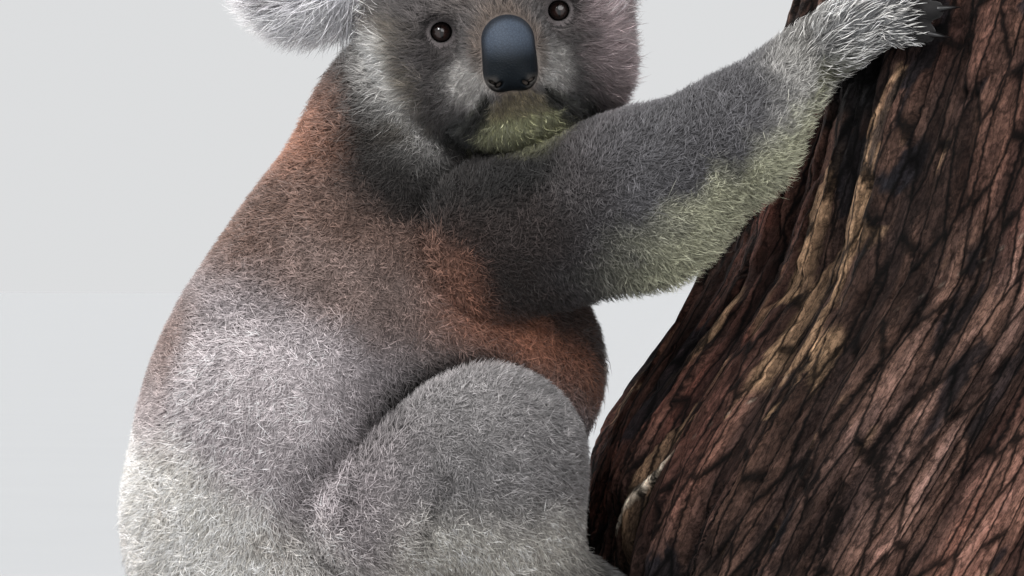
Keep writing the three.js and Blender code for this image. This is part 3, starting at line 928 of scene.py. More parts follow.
def head_markings(points):
    q = head_frame(points)
    x, y, z = q.T
    side = np.abs(x)
    wander = 3.5 * noise(q, 13, 11) + 1.8 * noise(q, 5, 12)
    spot = lambda across, up, wide, high: np.hypot((side - across) / wide, (y - up) / high) + wander / 14
    rim = ease(22.5, 18.5, np.hypot(side, (y + 18) * 0.78) + 0.4 * wander) * ease(5, 20, z)
    fringe = ease(-5, 4, side + 0.6 * wander - 64 - 0.2 * y) * ease(12, -2, y + wander)
    fringe = fringe * (1 - 0.8 * ease(-36, -52, y + wander) * ease(54, 64, side))
    jaw = 0.8 * ease(-52, -64, y + 0.7 * wander) * ease(38, 48, side)
    line, from_middle, out = mouth_line(points)
    mouth = ease(13, 17, from_middle) * ease(-12, 4, out)
    return layered(
        FACE_GREY,
        (TAN, 0.75 * ease(34, 6, side + wander) * ease(-4, 12, y) * ease(-40, -5, z)),
        (CHEEK_TAN, 0.7 * ease(44, 60, wander - x) * ease(20, -5, y)),
        (EYE_SHADE, 0.6 * ease(1.3, 0.6, spot(46, -2, 15, 17))),
        (MUZZLE, ease(1.4, 0.6, spot(23, -32, 13, 14)) * ease(-8, 12, z)),
        (NOSE_RIM, 0.7 * rim),
        (MAROON, 0.85 * ease(36, 60, x + wander) * ease(26, -10, y)),
        (WHITE, np.maximum(fringe, jaw) * ease(40, 20, x)),
        # green-black beside the chin: painted shade
        (CHIN_SHADE_BLACK, 0.97 * ease(1.4, 0.85, spot(30, -60, 14, 11))),
        (CHIN, ease(1.25, 0.75, spot(0, -65, 24, 15))),
        # darker patch on the upper lip just under the nose: painted shade under the nose
        (LIP, 0.8 * ease(1.3, 0.6, spot(0, -48, 18, 8))),
        (OLIVE, 0.75 * ease(6.5, 2.5, line + 0.4 * wander) * mouth),
        (MOUTH, 0.95 * ease(3.4, 1.4, line) * mouth),
    )


def ear_markings(points, forms):
    """Dark in the middle of the ear's front, white out to the tips of the fringe."""
    colour = EAR_MIDDLE
    for name, ear in EARS.items():
        q = (points - ear.middle) @ ear.turn
        out = np.hypot(q[:, 0] / EAR_RADII[0], q[:, 1] / EAR_RADII[1])
        white = ease(0.2, 0.52, out + 0.12 * noise(points, 9, 13))
        here = forms.share[name] > 0.3
        colour = np.where(here[:, None], painted(colour, EAR_WHITE, 0.9 * white), colour)
    return colour


def markings(points, normals, forms):
    parts = [
        (torso_markings(points), ["torso"]),
        (arm_markings(points, normals), ["arm"]),
        (leg_markings(points), ["leg"]),
        (head_markings(points), ["head"]),
        (ear_markings(points, forms), ["ear"]),
        (paw_markings(points), ["hand", "foot"]),
    ]
    colour = sum(own * forms.part(*regions)[:, None] for own, regions in parts)
    # painted shade, near-black, in the thigh's crease and along the flank's folds
    folds = flank_fold(points + 2 * noise(points, 8, 17)[:, None], 3.5)
    return painted(colour, SHADE_NEAR_BLACK, np.maximum(0.92 * leg_crease_shade(points), 0.4 * folds))


def leg_crease_shade(points):
    """Painted shade: 1 in the fold between the torso and a thigh and on the flank just above it, fading to
    0.
    """
    body = blended_forms(TORSO_BLEND, TORSO, 1)(points)
    most = np.zeros(len(points))
    for name in ("leg_right", "leg_left"):
        chain = blended_forms(LIMB_BLEND, PLANS[name].forms, 1)(points)
        beside = bell(np.minimum(body - chain + 4, 0), 8) * ease(6, 1, body - chain)
        most = np.maximum(most, beside * ease(16, 5, np.abs(np.minimum(body, chain))))
    return most * mix(0.25, 1.0, ease(-35, 5, body_frame(points)[:, 0]))


# ---- the skin -----------------------------------------------------------------------------------
SKIN_STEP = 5.0
FACE_STEP = 2.4
LID_STEP = 1.1
LID_REACH = 11
eyes = [eye_middle(sign) for sign in (-1, 1)]
lid_columns, lid_rows = (
    [(eye[axis] - LID_REACH, eye[axis] + LID_REACH, LID_STEP) for eye in eyes] for axis in (0, 2)
)
skin_lines = [
    ruled(-262, 262, SKIN_STEP, [(-70, 58, FACE_STEP), *lid_columns]),
    ruled(-205, 240, SKIN_STEP, [(-122, -66, FACE_STEP), (-88, -66, LID_STEP)]),
    ruled(58, 615, SKIN_STEP, [(430, 530, FACE_STEP), *lid_rows]),
]
skin_points, skin_triangles = surface(skin_field, skin_lines)
skin_normals = unit(gradient(skin_field, skin_points))
skin_forms = Forms(skin_points)
skin_tint = markings(skin_points, skin_normals, skin_forms)
on_pads = ease(5, 1.5, log_distance(skin_points)) * skin_forms.part("hand", "foot")
SKIN_SHADE = 0.55  # how dark the skin is against the hair on it, as painted shade under the coat
around_eyes = head_frame(skin_points)
around_eyes[:, 0] = np.abs(around_eyes[:, 0])
from_eye = length(around_eyes - EYE)
skin_tint = layered(
    skin_tint * SKIN_SHADE,
    (PAD_BLACK, on_pads),
    (LID_GREY, ease(15, 12, from_eye)),
    (LID_EDGE, ease(10.3, 9.5, from_eye)),
)

FLESH = ["head", "neck", "torso"]
for side in ("right", "left"):
    FLESH += [f"{part}_{side}" for part in ("ear", "upper_arm", "forearm", "hand", "thigh", "shank", "foot")]
skin = new_piece("skin", skin_points, skin_triangles, skin_material(), skin_tint)
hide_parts(*FLESH)


# ---- the coat -----------------------------------------------------------------------------------
PATCH = 0.003  # side of a hair's patch in the OFBake map
MAP_EDGE = 0.005  # left empty round the map
MOST_TRIANGLES = 185_000  # in one piece of the coat


def scattered(per_mm2):
    """Roots spread over the skin at the density of its points: their places, normals and forms."""
    corners = [skin_triangles[:, n] for n in range(3)]
    a, b, c = (skin_points[corner] for corner in corners)
    area = length(np.cross(b - a, c - a)) / 2
    wanted = area * np.mean([per_mm2[corner] for corner in corners], 0)
    owner = np.repeat(np.arange(len(area)), np.floor(wanted + RANDOM.random(len(area))).astype(int))
    u, v = RANDOM.random((2, len(owner)))
    over = u + v > 1
    u, v = np.where(over, 1 - u, u), np.where(over, 1 - v, v)
    shares = stacked(1 - u - v, u, v)

    def pick(values):
        weights = shares if values.ndim == 1 else shares[:, :, None]
        return sum(values[corner[owner]] * weights[:, n] for n, corner in enumerate(corners))

    return pick(skin_points), unit(pick(skin_normals)), skin_forms.carried(pick)


def tuft_middles(points, size):
    """The nearest of some middles scattered about size apart, with a number from 0 to 1 and a way for it."""
    cell = np.floor(points / size).astype(np.int64)
    best = np.full(len(points), 1e9)
    middle, lot, way = np.zeros_like(points), np.zeros(len(points)), np.zeros_like(points)
    three = lambda cells, seed: stacked(*(lattice(*cells.T, seed + n) for n in range(3)))
    for offset in np.ndindex(3, 3, 3):
        near = cell + offset - 1
        place = (near + three(near, 21)) * size
        gap = ((points - place) ** 2).sum(-1)
        closer = gap < best
        best = np.where(closer, gap, best)
        middle[closer] = place[closer]
        lot[closer] = lattice(*near[closer].T, 24)
        way[closer] = three(near[closer], 25) * 2 - 1
    return middle, lot, way


def across(v, normals):
    """The part of v that lies along the surface."""
    return v - (v * normals).sum(-1)[:, None] * normals


DEEPEST = 36.0
DEEPEST_SHORT = 8.5  # for the short hair, which has one part
LONGEST_HAIR = 17
EAR_HAIR = (15, 34)
TRIES = 4  # at drawing in a hair that stands out of the outline
DRAWN_IN = 0.82


class Coat:
    """Hairs of one kind: where they grow and which way they lie, and how long and fine they are."""

    def __init__(
        self,
        grown,
        lift,
        thickness,
        tuft,
        pull,
        stray,
        parts=1,
        stretch=1.0,
        longest=LONGEST_HAIR,
        proud=0.5,
        white=0,
    ):
        roots, normals, forms = grown
        count = len(roots)
        self.region = forms.region
        self.roots, self.normals, self.parts = roots, normals, parts
        depth = np.clip(-outline_field(roots), 1.0, DEEPEST)
        short = parts == 1
        depth = np.minimum(depth, np.minimum(forms.coat * 1.15 + 1, DEEPEST_SHORT if short else DEEPEST))
        ear = forms.part("ear")
        lie = across(forms.lie, normals)
        from_eye, eye_side = self.eye_gap(roots)
        lie = mix(unit(lie), unit(across(eye_side, normals)), (0.85 * ease(26, 15, from_eye))[:, None])
        swirl = stacked(*(noise(roots, 24, seed) for seed in (31, 32, 33)))
        middle, lot, lean = tuft_middles(roots, tuft)
        smooth = [0.5 * forms.part("head"), 0.75 * forms.part("hand", "foot"), 0.75 * ear]
        woolly = (1 - np.maximum.reduce(smooth))[:, None]
        lie = unit(across(unit(lie) + (0.5 * swirl + 1.1 * lean) * woolly, normals))
        strays = RANDOM.normal(0, stray, (count, 3))
        way = unit(lie * np.sqrt(1 - lift**2)[:, None] + normals * lift[:, None] + strays)
        reach = depth / np.clip((way * normals).sum(-1), 0.3, 1) * stretch
        reach = mix(np.minimum(reach, longest), mix(*EAR_HAIR, lot), ear)
        under = forms.part("arm") * ease(0.1, 0.6, normals @ ARM_UNDER) * short
        reach = reach * (1 - 0.4 * under) * mix(0.82, 1.1, lot) * RANDOM.uniform(0.8, 1.08, count)
        tips = roots + way * reach[:, None] - across(roots - middle, normals) * pull
        out = np.arange(count)
        for _ in range(TRIES):
            out = out[outline_field(tips[out]) > (proud + 1.5 * lot)[out]]
            tips[out] = mix(roots[out], tips[out], DRAWN_IN)
        inside = np.minimum(log_distance(tips) - 0.6, 0)
        angle = log_angle(tips)
        outward = stacked(-np.cos(angle), -np.sin(angle), 0 * angle)
        self.tips = tips - outward * inside[:, None]
        self.width = thickness * RANDOM.uniform(0.8, 1.2, count)
        self.lot = lot
        self.base_colour = painted(markings(roots, normals, forms), WHITE, white * np.ones(count))
        self.forms = forms

    @staticmethod
    def eye_gap(roots):
        """Distance from the nearer eye, and the way from it."""
        gaps = [roots - eye_middle(sign) for sign in (-1, 1)]
        nearer = (length(gaps[0]) < length(gaps[1]))[:, None]
        gap = np.where(nearer, *gaps)
        return length(gap), gap

    def ring_points(self):
        """The hairs' points: rings of three from the root up, then the tip."""
        way = unit(self.tips - self.roots)
        spin = RANDOM.normal(0, 1, way.shape)
        u = unit(np.cross(way, spin))
        v = np.cross(way, u)
        long = length(self.tips - self.roots)[:, None]
        bow = self.normals * 0.12 * long + across(spin, way) * 0.035 * long
        points, shares = [], []
        for ring in range(self.parts):
            t = ring / self.parts
            middle = mix(self.roots, self.tips, t) + (bow * 4 * t * (1 - t) if self.parts > 1 else 0)
            middle = middle - way * (0.8 if ring == 0 else 0)
            radius = (self.width * (1 - t) ** 0.7 / 2)[:, None]
            for corner in range(3):
                angle = corner * 2 * math.pi / 3
                points.append(middle + radius * (u * math.cos(angle) + v * math.sin(angle)))
                shares.append(t)
        return np.stack(points + [self.tips], 1), np.array(shares + [1.0])

    def faces(self):
        """One hair's triangles as ring corner numbers, and their places in the hair's patch."""
        triangles, places = [], []
        last = 3 * self.parts
        for ring in range(self.parts):
            low, high = ring / self.parts, (ring + 1) / self.parts
            for corner in range(3):
                a, b = 3 * ring + corner, 3 * ring + (corner + 1) % 3
                left, right = corner / 3, (corner + 1) / 3
                start, end = [left, low], [right, low]
                if ring == self.parts - 1:
                    triangles.append([a, b, last])
                    places.append([start, end, [(left + right) / 2, high]])
                else:
                    triangles += [[a, b, b + 3], [a, b + 3, a + 3]]
                    places += [[start, end, [right, high]], [start, [right, high], [left, high]]]
        return np.array(triangles), np.array(places)

    def colours(self, shares):
        """Dark at the root and light at the tip, each tuft and hair a little different."""
        count = len(self.roots)
        clump = noise(self.roots, 9, 91)
        head = self.forms.part("head")
        clump = clump * 0.16 + 0.3 * noise(self.roots, mix(4.6, 3.2, head[:, None]), 92)
        own = mix(0.3, 0.5, head) * RANDOM.uniform(-1, 1, count)
        bright = mix(0.74, 1.26, self.lot) * (1 + clump) * (1 + own)
        pepper = RANDOM.random(count) * (1 - self.forms.part("ear"))
        bright = np.where(pepper > 0.8, bright * 0.5, bright)
        tip = mix(1.25 * self.base_colour * bright[:, None], 0.8, 0.02)
        pale = ease(0.3, 0.7, self.base_colour.mean(-1))
        root = self.base_colour * (mix(0.34, 0.46, self.forms.part("ear", "head")) + 0.24 * pale)[:, None]
        strand = np.ones((count, len(shares), 1))
        strand[:, :-1] = np.tile(RANDOM.uniform(0.45, 1.5, (count, 3, 1)), (1, self.parts, 1))
        return mix(root[:, None], tip[:, None], (shares**0.8)[None, :, None]) * strand


EAR_BACK = 140  # how far across the unwrap the backs of the ears lie from the fronts
PAD_SIDE = 400  # the same for the paws' undersides
HEAD_AXIS = (0, 44, 0)


def unwrapped(region, roots, normals):
    """Where roots lie on an unwrap of the skin: round the torso, head and limbs, or on two faces."""
    if region.startswith(("arm", "leg")):
        plan = PLANS[region]
        axis = unit(np.array(plan.joints[-1]) - plan.joints[0])
        side = unit(np.cross(axis, [0.1, 1, 0.2]))
        q = (roots - plan.joints[0]) @ stacked(side, np.cross(axis, side), axis)
        return stacked(np.arctan2(q[:, 1], q[:, 0]), q[:, 2])
    if region.startswith("ear"):
        ear = EARS[region]
        q = (roots - ear.middle) @ ear.turn
        return stacked(q[:, 0] + EAR_BACK * ((normals @ ear.turn)[:, 2] < 0), q[:, 1])
    if region.startswith(("hand", "foot")):
        under = log_distance(roots) < DIGIT_RADIUS
        return stacked(np.degrees(log_angle(roots)) * 3 + PAD_SIDE * under, roots[:, 2])
    q = head_frame(roots)[:, [0, 2, 1]] + HEAD_AXIS if region == "head" else body_frame(roots)
    return stacked(np.arctan2(q[:, 0], q[:, 1]), q[:, 2])


def grow(coat, prefix, material):
    """Makes the coat's pieces, one or more for each region of the skin."""
    points, shares = coat.ring_points()
    tint = coat.colours(shares)
    triangles, places = coat.faces()
    for region in sorted(set(coat.region)):
        chosen = np.flatnonzero(coat.region == region)
        flat = unwrapped(region, coat.roots[chosen], coat.normals[chosen])
        order = np.argsort(flat[:, 0], kind="stable")
        pieces = math.ceil(len(chosen) * len(triangles) / MOST_TRIANGLES)
        for number, part in enumerate(np.array_split(order, pieces)):
            own = chosen[part]
            low, high = flat[part].min(0), flat[part].max(0)
            corner = MAP_EDGE + (flat[part] - low) / (high - low + 1e-6) * (1 - 2 * MAP_EDGE - PATCH)
            uv = corner[:, None, None] + places * PATCH
            start = np.arange(len(own))[:, None, None] * points.shape[1]
            name = f"{prefix}_{region}" + (f"_{number + 1}" if pieces > 1 else "")
            piece = new_piece(
                name,
                points[own].reshape(-1, 3),
                (start + triangles).reshape(-1, 3),
                material,
                tint[own].reshape(-1, 3),
                uv.reshape(-1, 2),
            )


def growth():
    """Where hair grows on the skin, 0 to 1: not on the lids, round the nose or on the pads."""
    nose_gap = blended_forms(6, NOSE_SKIN, 0)(skin_points)
    grows = ease(11.0, 12.5, from_eye) * ease(0.6, 1.6, nose_gap)
    grows = grows * (1 - part("hand", "foot") * ease(32, 36, palm_gap))
    return grows * (1 - on_pads) * ease(0.6, 2.0, log_distance(skin_points))


part = skin_forms.part
palm_gap = from_palm(skin_points)
grows = growth()
front = ease(-60, 0, head_frame(skin_points)[:, 2])
density = 0.75 * part("torso") + 0.82 * part("leg", "arm") + part("head") * mix(1.1, 2.0, front)
density += 1.3 * part("ear") + 1.1 * part("hand", "foot")
hidden = ease(26, 8, log_distance(skin_points)) * part("torso", "leg")
density = density * grows * (1 - 0.6 * hidden)

fur = fur_material("fur")
grown = scattered(density)
roots, _, root_forms = grown
on_face = root_forms.part("head") * ease(-50, -10, head_frame(roots)[:, 2])
fine = np.maximum(on_face, root_forms.part("hand", "foot"))
coat = Coat(
    grown,
    lift=0.8 - 0.38 * fine - 0.45 * root_forms.part("ear"),
    thickness=mix(0.92, 0.58, fine),
    tuft=2.8,
    pull=0.75,
    stray=mix(0.32, 0.18, fine)[:, None],
)
grow(coat, "coat", fur)

q = head_frame(skin_points)
fringe = ease(56, 70, np.abs(q[:, 0]) - 0.1 * q[:, 1]) + 0.6 * ease(-50, -62, q[:, 1])
longer = 0.1 * np.clip(fringe, 0, 1) * part("head") + 0.24 * part("ear")
longer += 0.24 * part("arm") * ease(0.1, 0.6, skin_normals @ ARM_UNDER) + 0.2 * part("hand")
rump = ease(250, 215, skin_points[:, 2] - 0.4 * (skin_points[:, 0] + 150))
longer += 0.006 * part("torso", "leg", "arm") + 0.06 * part("torso") * rump
wisp_grown = scattered(longer * grows)
wisp_roots, wisp_normals, wisp_forms = wisp_grown
wisp_x = head_frame(wisp_roots)[:, 0]
hanging = wisp_forms.part("arm") * ease(0.1, 0.6, wisp_normals @ ARM_UNDER) * ease(10, 60, wisp_roots[:, 0])
whiskers = wisp_forms.part("head") * ease(54, 66, np.maximum(-wisp_x, 0.86 * wisp_x))
wisps = Coat(
    wisp_grown,
    lift=0.6 - 0.35 * wisp_forms.part("ear", "hand") + 0.25 * wisp_forms.part("arm"),
    thickness=0.5 + 0.2 * wisp_forms.part("ear", "hand"),
    tuft=5.0,
    pull=0.35,
    stray=0.2,
    parts=2,
    stretch=1.15 + 0.45 * hanging,
    longest=LONGEST_HAIR + 11 * hanging,
    proud=2.0 + 8 * hanging,
    white=whiskers + 0.9 * wisp_forms.part("hand"),
)
grow(wisps, "wisps", fur)


# ---- nose, eyes and claws -----------------------------------------------------------------------
def nose_field(points):
    field = blended_forms(6, NOSE_SKIN, 0)(points)
    q = nose_frame(points)
    q[:, 0] = np.abs(q[:, 0])
    opening = Ball("", (7.6, -35.6, 39), [2.7, 1.5, 7.0], rotation("Z", -35), 0)
    slit = Ball("", (11.0, -34.0, 36.5), [2.4, 0.9, 5], rotation("Z", 30), 0)
    field = carved(field, opening.distance(q, 0), 1.4)
    return carved(field, slit.distance(q, 0), 1.0)


NOSE_STEP = 0.8
NOSE_REACH = 30
nose_middle = in_head(0, -24, 28)
nose_lines = [ruled(at - NOSE_REACH, at + NOSE_REACH, NOSE_STEP) for at in nose_middle]
nose_points, nose_triangles = surface(nose_field, nose_lines)
x, y, z = nose_frame(nose_points).T
side = np.abs(x)
nose_tint = layered(
    linear(56, 64, 75),
    (linear(8, 14, 19), ease(-8, -24, y)),
    # darker round the nose's edge: painted shade in the gap against the fur
    (linear(20, 22, 26), 0.8 * ease(11.5, 15, np.hypot(side, np.maximum(y + 13, 0)))),
    (linear(66, 63, 60), 0.8 * ease(6.5, 10, side) * ease(-29, -34, y)),  # the nostrils' wings
    # near-black in the nostrils' openings: painted shade
    (linear(8, 8, 9), ease(37.0, 34.0, z) * ease(11, 9, np.hypot(side - 8, y + 35.5) * 2.2)),
)
n = Nodes("nose_skin", 0.55, Specular_IOR_Level=0.12)
pebbles = {"Vector": n.place, "Scale": 620}
pebbles = n.add("ShaderNodeTexVoronoi", "Distance", pebbles, feature="DISTANCE_TO_EDGE")
n.tinted(n.ramp(pebbles, (0.0, 0.72), (0.12, 1.08)))
n.bump(pebbles, 0.5, 0.0006)
nose = new_piece("nose", nose_points, nose_triangles, n.material, nose_tint)
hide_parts("nose_pad")


def turned_grid(rings, sides, place):
    """Points place(t, angle) over rings t from 0 to 1, and quads that join them into a closed skin."""
    t = np.repeat(np.linspace(0, 1, rings), sides)
    angle = np.tile(np.arange(sides) * 2 * math.pi / sides, rings)
    at = np.arange(rings * sides).reshape(rings, sides)
    round_on = np.roll(at, -1, 1)
    quads = np.stack([at[:-1], round_on[:-1], round_on[1:], at[1:]], -1).reshape(-1, 4)
    return place(t, angle), quads


n = Nodes("eye_wet", 0.06, Coat_Weight=1.0, Coat_Roughness=0.01, Specular_IOR_Level=0.2)
n.tinted()
eye_material = n.material
CORNEA = 0.35  # how far it bulges from the ball
EYE_RINGS, EYE_SIDES = 56, 64


def ball_around(middle):
    def place(t, angle):
        turn = np.maximum(t, 0.004) * math.pi * 0.996
        r = EYE_RADIUS + CORNEA * bell(turn, 0.5)
        q = stacked(np.sin(turn) * np.cos(angle), np.sin(turn) * np.sin(angle), np.cos(turn))
        return (q * r[:, None] + middle) @ HEAD_TURN.T + EYE_MIDDLE

    return place


for side, sign in (("right", -1), ("left", 1)):
    middle = eye_in_head(sign)
    eye_points, eye_quads = turned_grid(EYE_RINGS, EYE_SIDES, ball_around(middle))
    x, y, _ = (head_frame(eye_points) - middle).T
    off = np.hypot(x, y)
    streaks = 0.5 + 0.5 * noise(stacked(np.arctan2(y, x) * 6, off * 0.6, 0 * x), 1, 41)
    iris = mix(linear(24, 17, 16), linear(52, 35, 31), (streaks * ease(5.0, 2.2, off))[:, None])
    pupil = ease(1.15, 0.85, np.hypot(x / 0.85, y / 3.9))
    eye_tint = layered(iris, (linear(10, 8, 8), ease(4.2, 5.6, off)), (linear(6, 5, 5), pupil))
    eye = new_piece(f"eyeball_{side}", eye_points, eye_quads, eye_material, eye_tint)
    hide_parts(f"eye_{side}")

n = Nodes("claw_horn", 0.32, Specular_IOR_Level=0.5)
n.tinted(n.ramp(n.noise(500, 3, (1, 1, 0.2)), (0.3, 0.7), (0.7, 1.3)))
n.bump(n.noise(700, 2, (1, 1, 0.15)), 0.2, 0.0003)
claw_material = n.material
CLAW_RINGS, CLAW_SIDES = 14, 12
CLAW_WIDE, CLAW_HIGH = 2.7, 3.6


def log_axis(z):
    """The middle of the trunk at these heights."""
    return stacked(log_middle(z), np.full(len(z), LOG_DEPTH), z)


def claw_line(t):
    """How far out along the digit, and how high over the bark, the claw's middle is at t."""
    return DIGIT_TIP - 3 + (CLAW_LENGTH + 3) * (t - 0.35 * t * t), 10 + 5 * t - 15 * t * t


def claw(name, plan, degrees):
    def place(t, angle):
        line = np.array([along_digit(plan, degrees, *claw_line(u)) for u in t])
        ahead = np.array([along_digit(plan, degrees, *claw_line(u + 0.02)) for u in t])
        along = unit(ahead - line)
        out = unit(line - log_axis(line[:, 2]))
        sideways = unit(np.cross(along, out))
        rise = np.cross(sideways, along)
        thin = (1 - t) ** 0.85
        wide = (CLAW_WIDE * thin + 0.05) * np.cos(angle)
        high = (CLAW_HIGH * thin + 0.05) * np.sin(angle)
        return line + sideways * wide[:, None] + rise * high[:, None]

    points, quads = turned_grid(CLAW_RINGS, CLAW_SIDES, place)
    t = np.repeat(np.linspace(0, 1, CLAW_RINGS), CLAW_SIDES)
    tint = mix(linear(34, 31, 30), linear(14, 13, 14), ease(0.0, 0.4, t)[:, None])
    piece = new_piece(name.replace("claw", "horn"), points, quads, claw_material, tint)
    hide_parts(name)


for name, plan in PLANS.items():
    paw = paw_of(name)
    clawed = plan.fan[1:] if paw.startswith("foot") else plan.fan  # a foot's first toe has no claw
    for number, degrees in enumerate(clawed):
        claw(f"claw_{paw}_{number + 1}", plan, degrees)


# ---- the trunk ----------------------------------------------------------------------------------
def fibre_turn(z):
    """How far round the trunk, in radians, the bark's fibres have wound by a height."""
    return (0.28 * np.minimum(z - 350, 0) + elbow(z)) / LOG_RADIUS


RIBS = 21
FURROW_DEPTH = 7


def furrow_depth(wind, z):
    """Depth of the main furrows between the ridges of bark."""
    wave = np.sin(RIBS * wind + 0.9 * np.sin(4 * wind + z / 130))
    return FURROW_DEPTH * ((1 - wave) / 2) ** 3


def along_fibres(angle, z):
    """A place in which the fibres run straight up, the same after a whole turn."""
    wind = angle - fibre_turn(z)
    return stacked(LOG_RADIUS * np.cos(wind), LOG_RADIUS * np.sin(wind), z)


SIZES = 3


def rough(place, wide, long, seed):
    """Noise of several sizes, each half the one before."""
    total = sum(noise(place, np.array([wide, wide, long]) / 2**n, seed + n) / 2**n for n in range(SIZES))
    return total / (2 - 0.5 ** (SIZES - 1))


def plates(wind, z, around, high, seed):
    """Angular plates, so many around the trunk and so high: the gap to an edge, and three numbers."""
    u, v = wind / (2 * math.pi) * around, z / high
    cell = stacked(np.floor(u), np.floor(v)).astype(np.int64)
    best, second = np.full((2, len(u)), 9.0)
    owner = np.zeros((3, len(u)), np.int64)
    for offset in np.ndindex(3, 3):
        near = (cell + offset - 1).T
        ids = np.stack([near[0] % around, near[1], 0 * near[1]])
        across_gap, along_gap = [near[n] + 0.1 + 0.8 * lattice(*ids, seed + n) - (u, v)[n] for n in (0, 1)]
        gap = (np.abs(across_gap) ** 3 + np.abs(along_gap) ** 3) ** (1 / 3)
        closer = gap < best
        second = np.where(closer, best, np.minimum(second, gap))
        best = np.where(closer, gap, best)
        owner = np.where(closer, ids, owner)
    return second - best, *(lattice(*owner, seed + n) for n in (2, 3, 4))


LARGE_PLATES = (66, 95)  # how many around the trunk, and how high
SMALL_PLATES = (140, 38)
WRIST_SHADOW_SPOT = (42, 466)  # where shadow is painted on the bark below the right hand, in degrees and height


def bark(angle, z):
    """The bark's height over the trunk's own surface, and its colour with painted light and shade."""
    wind = angle - fibre_turn(z)
    main = furrow_depth(wind, z)
    place = along_fibres(angle, z)
    wander = 5 * noise(place, [40, 40, 110], 51) + 1.6 * noise(place, [9, 9, 26], 52)
    wander = (wander + 0.9 * noise(place, [4, 4, 7], 53)) / LOG_RADIUS
    climb = z + 8 * noise(place, [9, 9, 40], 54) + 3 * noise(place, [4, 4, 7], 55)
    edge, step, tone, kind = plates(wind + wander, climb, *LARGE_PLATES, 56)
    small_edge, small_step, small_tone, small_kind = plates(wind + 0.8 * wander, climb, *SMALL_PLATES, 61)
    split = ease(0.26, 0.06, edge) * ease(-0.35, 0.15, noise(place, [30, 30, 70], 66))
    small_split = ease(0.3, 0.06, small_edge) * ease(0.25, -0.2, noise(place, [22, 22, 40], 67))
    fibres = rough(place, 4, 46, 70)
    flakes = rough(place, 5, 8, 73)
    height = 3.6 * (step - 0.5) + 2.0 * (small_step - 0.5) - 3.2 * split - 1.4 * small_split
    height += 0.8 * fibres + 0.9 * flakes
    shade = 0.5 * tone + 0.3 * small_tone + 0.2 + 0.3 * rough(place, 36, 130, 76)
    colour = mix(linear(36, 29, 29), linear(80, 60, 51), shade[:, None])
    degrees = np.degrees(angle)
    # painted light and shade: brighter low down, most where the bark faces the camera, darker from 46 to 76
    # degrees above about 420
    lit = 2.1 * ease(70, 90, degrees) * ease(140, 110, degrees) * ease(440, 340, z)
    lit = lit + 0.4 * ease(330, 250, z)
    lit = lit - 0.35 * ease(46, 54, degrees) * ease(76, 68, degrees) * ease(450, 400, z)
    colour = colour * (1 + lit)[:, None]
    red = ease(-0.25, 0.35, rough(place, 90, 160, 85) + 0.35 * np.sin(angle - 0.9))
    colour = painted(colour, linear(94, 54, 44), 0.65 * red * mix(0.5, 1.0, small_kind))
    fresh = ease(0.84, 0.94, kind + 0.3 * (small_kind - 0.5) + 0.9 * rough(place, 60, 120, 79))
    colour = painted(colour, linear(160, 130, 102), 0.85 * fresh * mix(0.6, 1.0, small_tone))
    colour = colour * mix(0.7, 1.25, ease(-0.45, 0.45, flakes + 0.8 * fibres))[:, None]
    charred = ease(0.22, 0.3, rough(place, 26, 60, 82) + 0.25 * (small_tone - 0.5) + 0.1 * flakes)
    colour = painted(colour, linear(17, 20, 25), 0.88 * charred)
    # darker deep in the furrows, painted shade, and along the splits between plates
    dark = np.maximum.reduce([0.7 * ease(2.0, 6.0, main), 0.6 * split, 0.25 * small_split])
    colour = painted(colour, linear(18, 15, 16), dark * 0.95)
    # painted shadow, near-black, on the bark under the right hand
    hand_shadow = ease(34, 16, length(on_bark(degrees, z) - on_bark(*WRIST_SHADOW_SPOT)))
    return height - main - 0.8, painted(colour, linear(16, 18, 20), 0.9 * hand_shadow)


# One raised strip of pale bark beside the animal's feet.
STRIP_ANGLE = 29
STRIP_MIDDLE = 229.5
STRIP_REACH = 26.5  # up and down from its middle
STRIP_SLANT = 1.2
STRIP_WIDTH = 3.4  # from its own middle line


def with_strip(angle, z, height, colour):
    up = z - STRIP_MIDDLE
    beside = (angle - math.radians(STRIP_ANGLE)) * LOG_RADIUS - STRIP_SLANT * up
    width = STRIP_WIDTH * np.sqrt(np.clip(1 - (up / STRIP_REACH) ** 2, 0, 1))
    on = ease(0.5, -1.5, np.abs(beside) - width)
    cracks = noise(stacked(beside, z, 0 * z), [1.5, 20, 1], 64)
    height = mix(height, 0.3 * height - 0.5, on)
    pale = mix(linear(240, 226, 206), linear(200, 184, 164), ease(-0.2, 0.6, cracks)[:, None])
    return height, painted(colour, pale, on)


LOG_SIDES = 560
LOG_RINGS = 240
RIM = 5  # how far the ends of the trunk are rounded over


def trunk_wall():
    sides = np.arange(LOG_SIDES) * 2 * math.pi / LOG_SIDES
    heights = np.linspace(LOG_BOTTOM, LOG_TOP, LOG_RINGS)
    z, angle = (v.ravel() for v in np.meshgrid(heights, sides, indexing="ij"))
    height, colour = with_strip(angle, z, *bark(angle, z))
    to_end = np.minimum(z - LOG_BOTTOM, LOG_TOP - z)
    height = height - 2.5 * ease(RIM, 0, to_end)
    return on_bark(np.degrees(angle), z, height), colour


wall_points, wall_colours = trunk_wall()
at = np.arange(LOG_RINGS * LOG_SIDES).reshape(LOG_RINGS, LOG_SIDES)


def joined(rows):
    """Quads between the rings of a closed skin."""
    after = np.roll(rows, -1, 1)
    return stacked(rows[:-1], rows[1:], after[1:], after[:-1]).reshape(-1, 4)


CAP_RINGS = 11
CAP_HOLE = 0.004  # share of the radius left at the middle


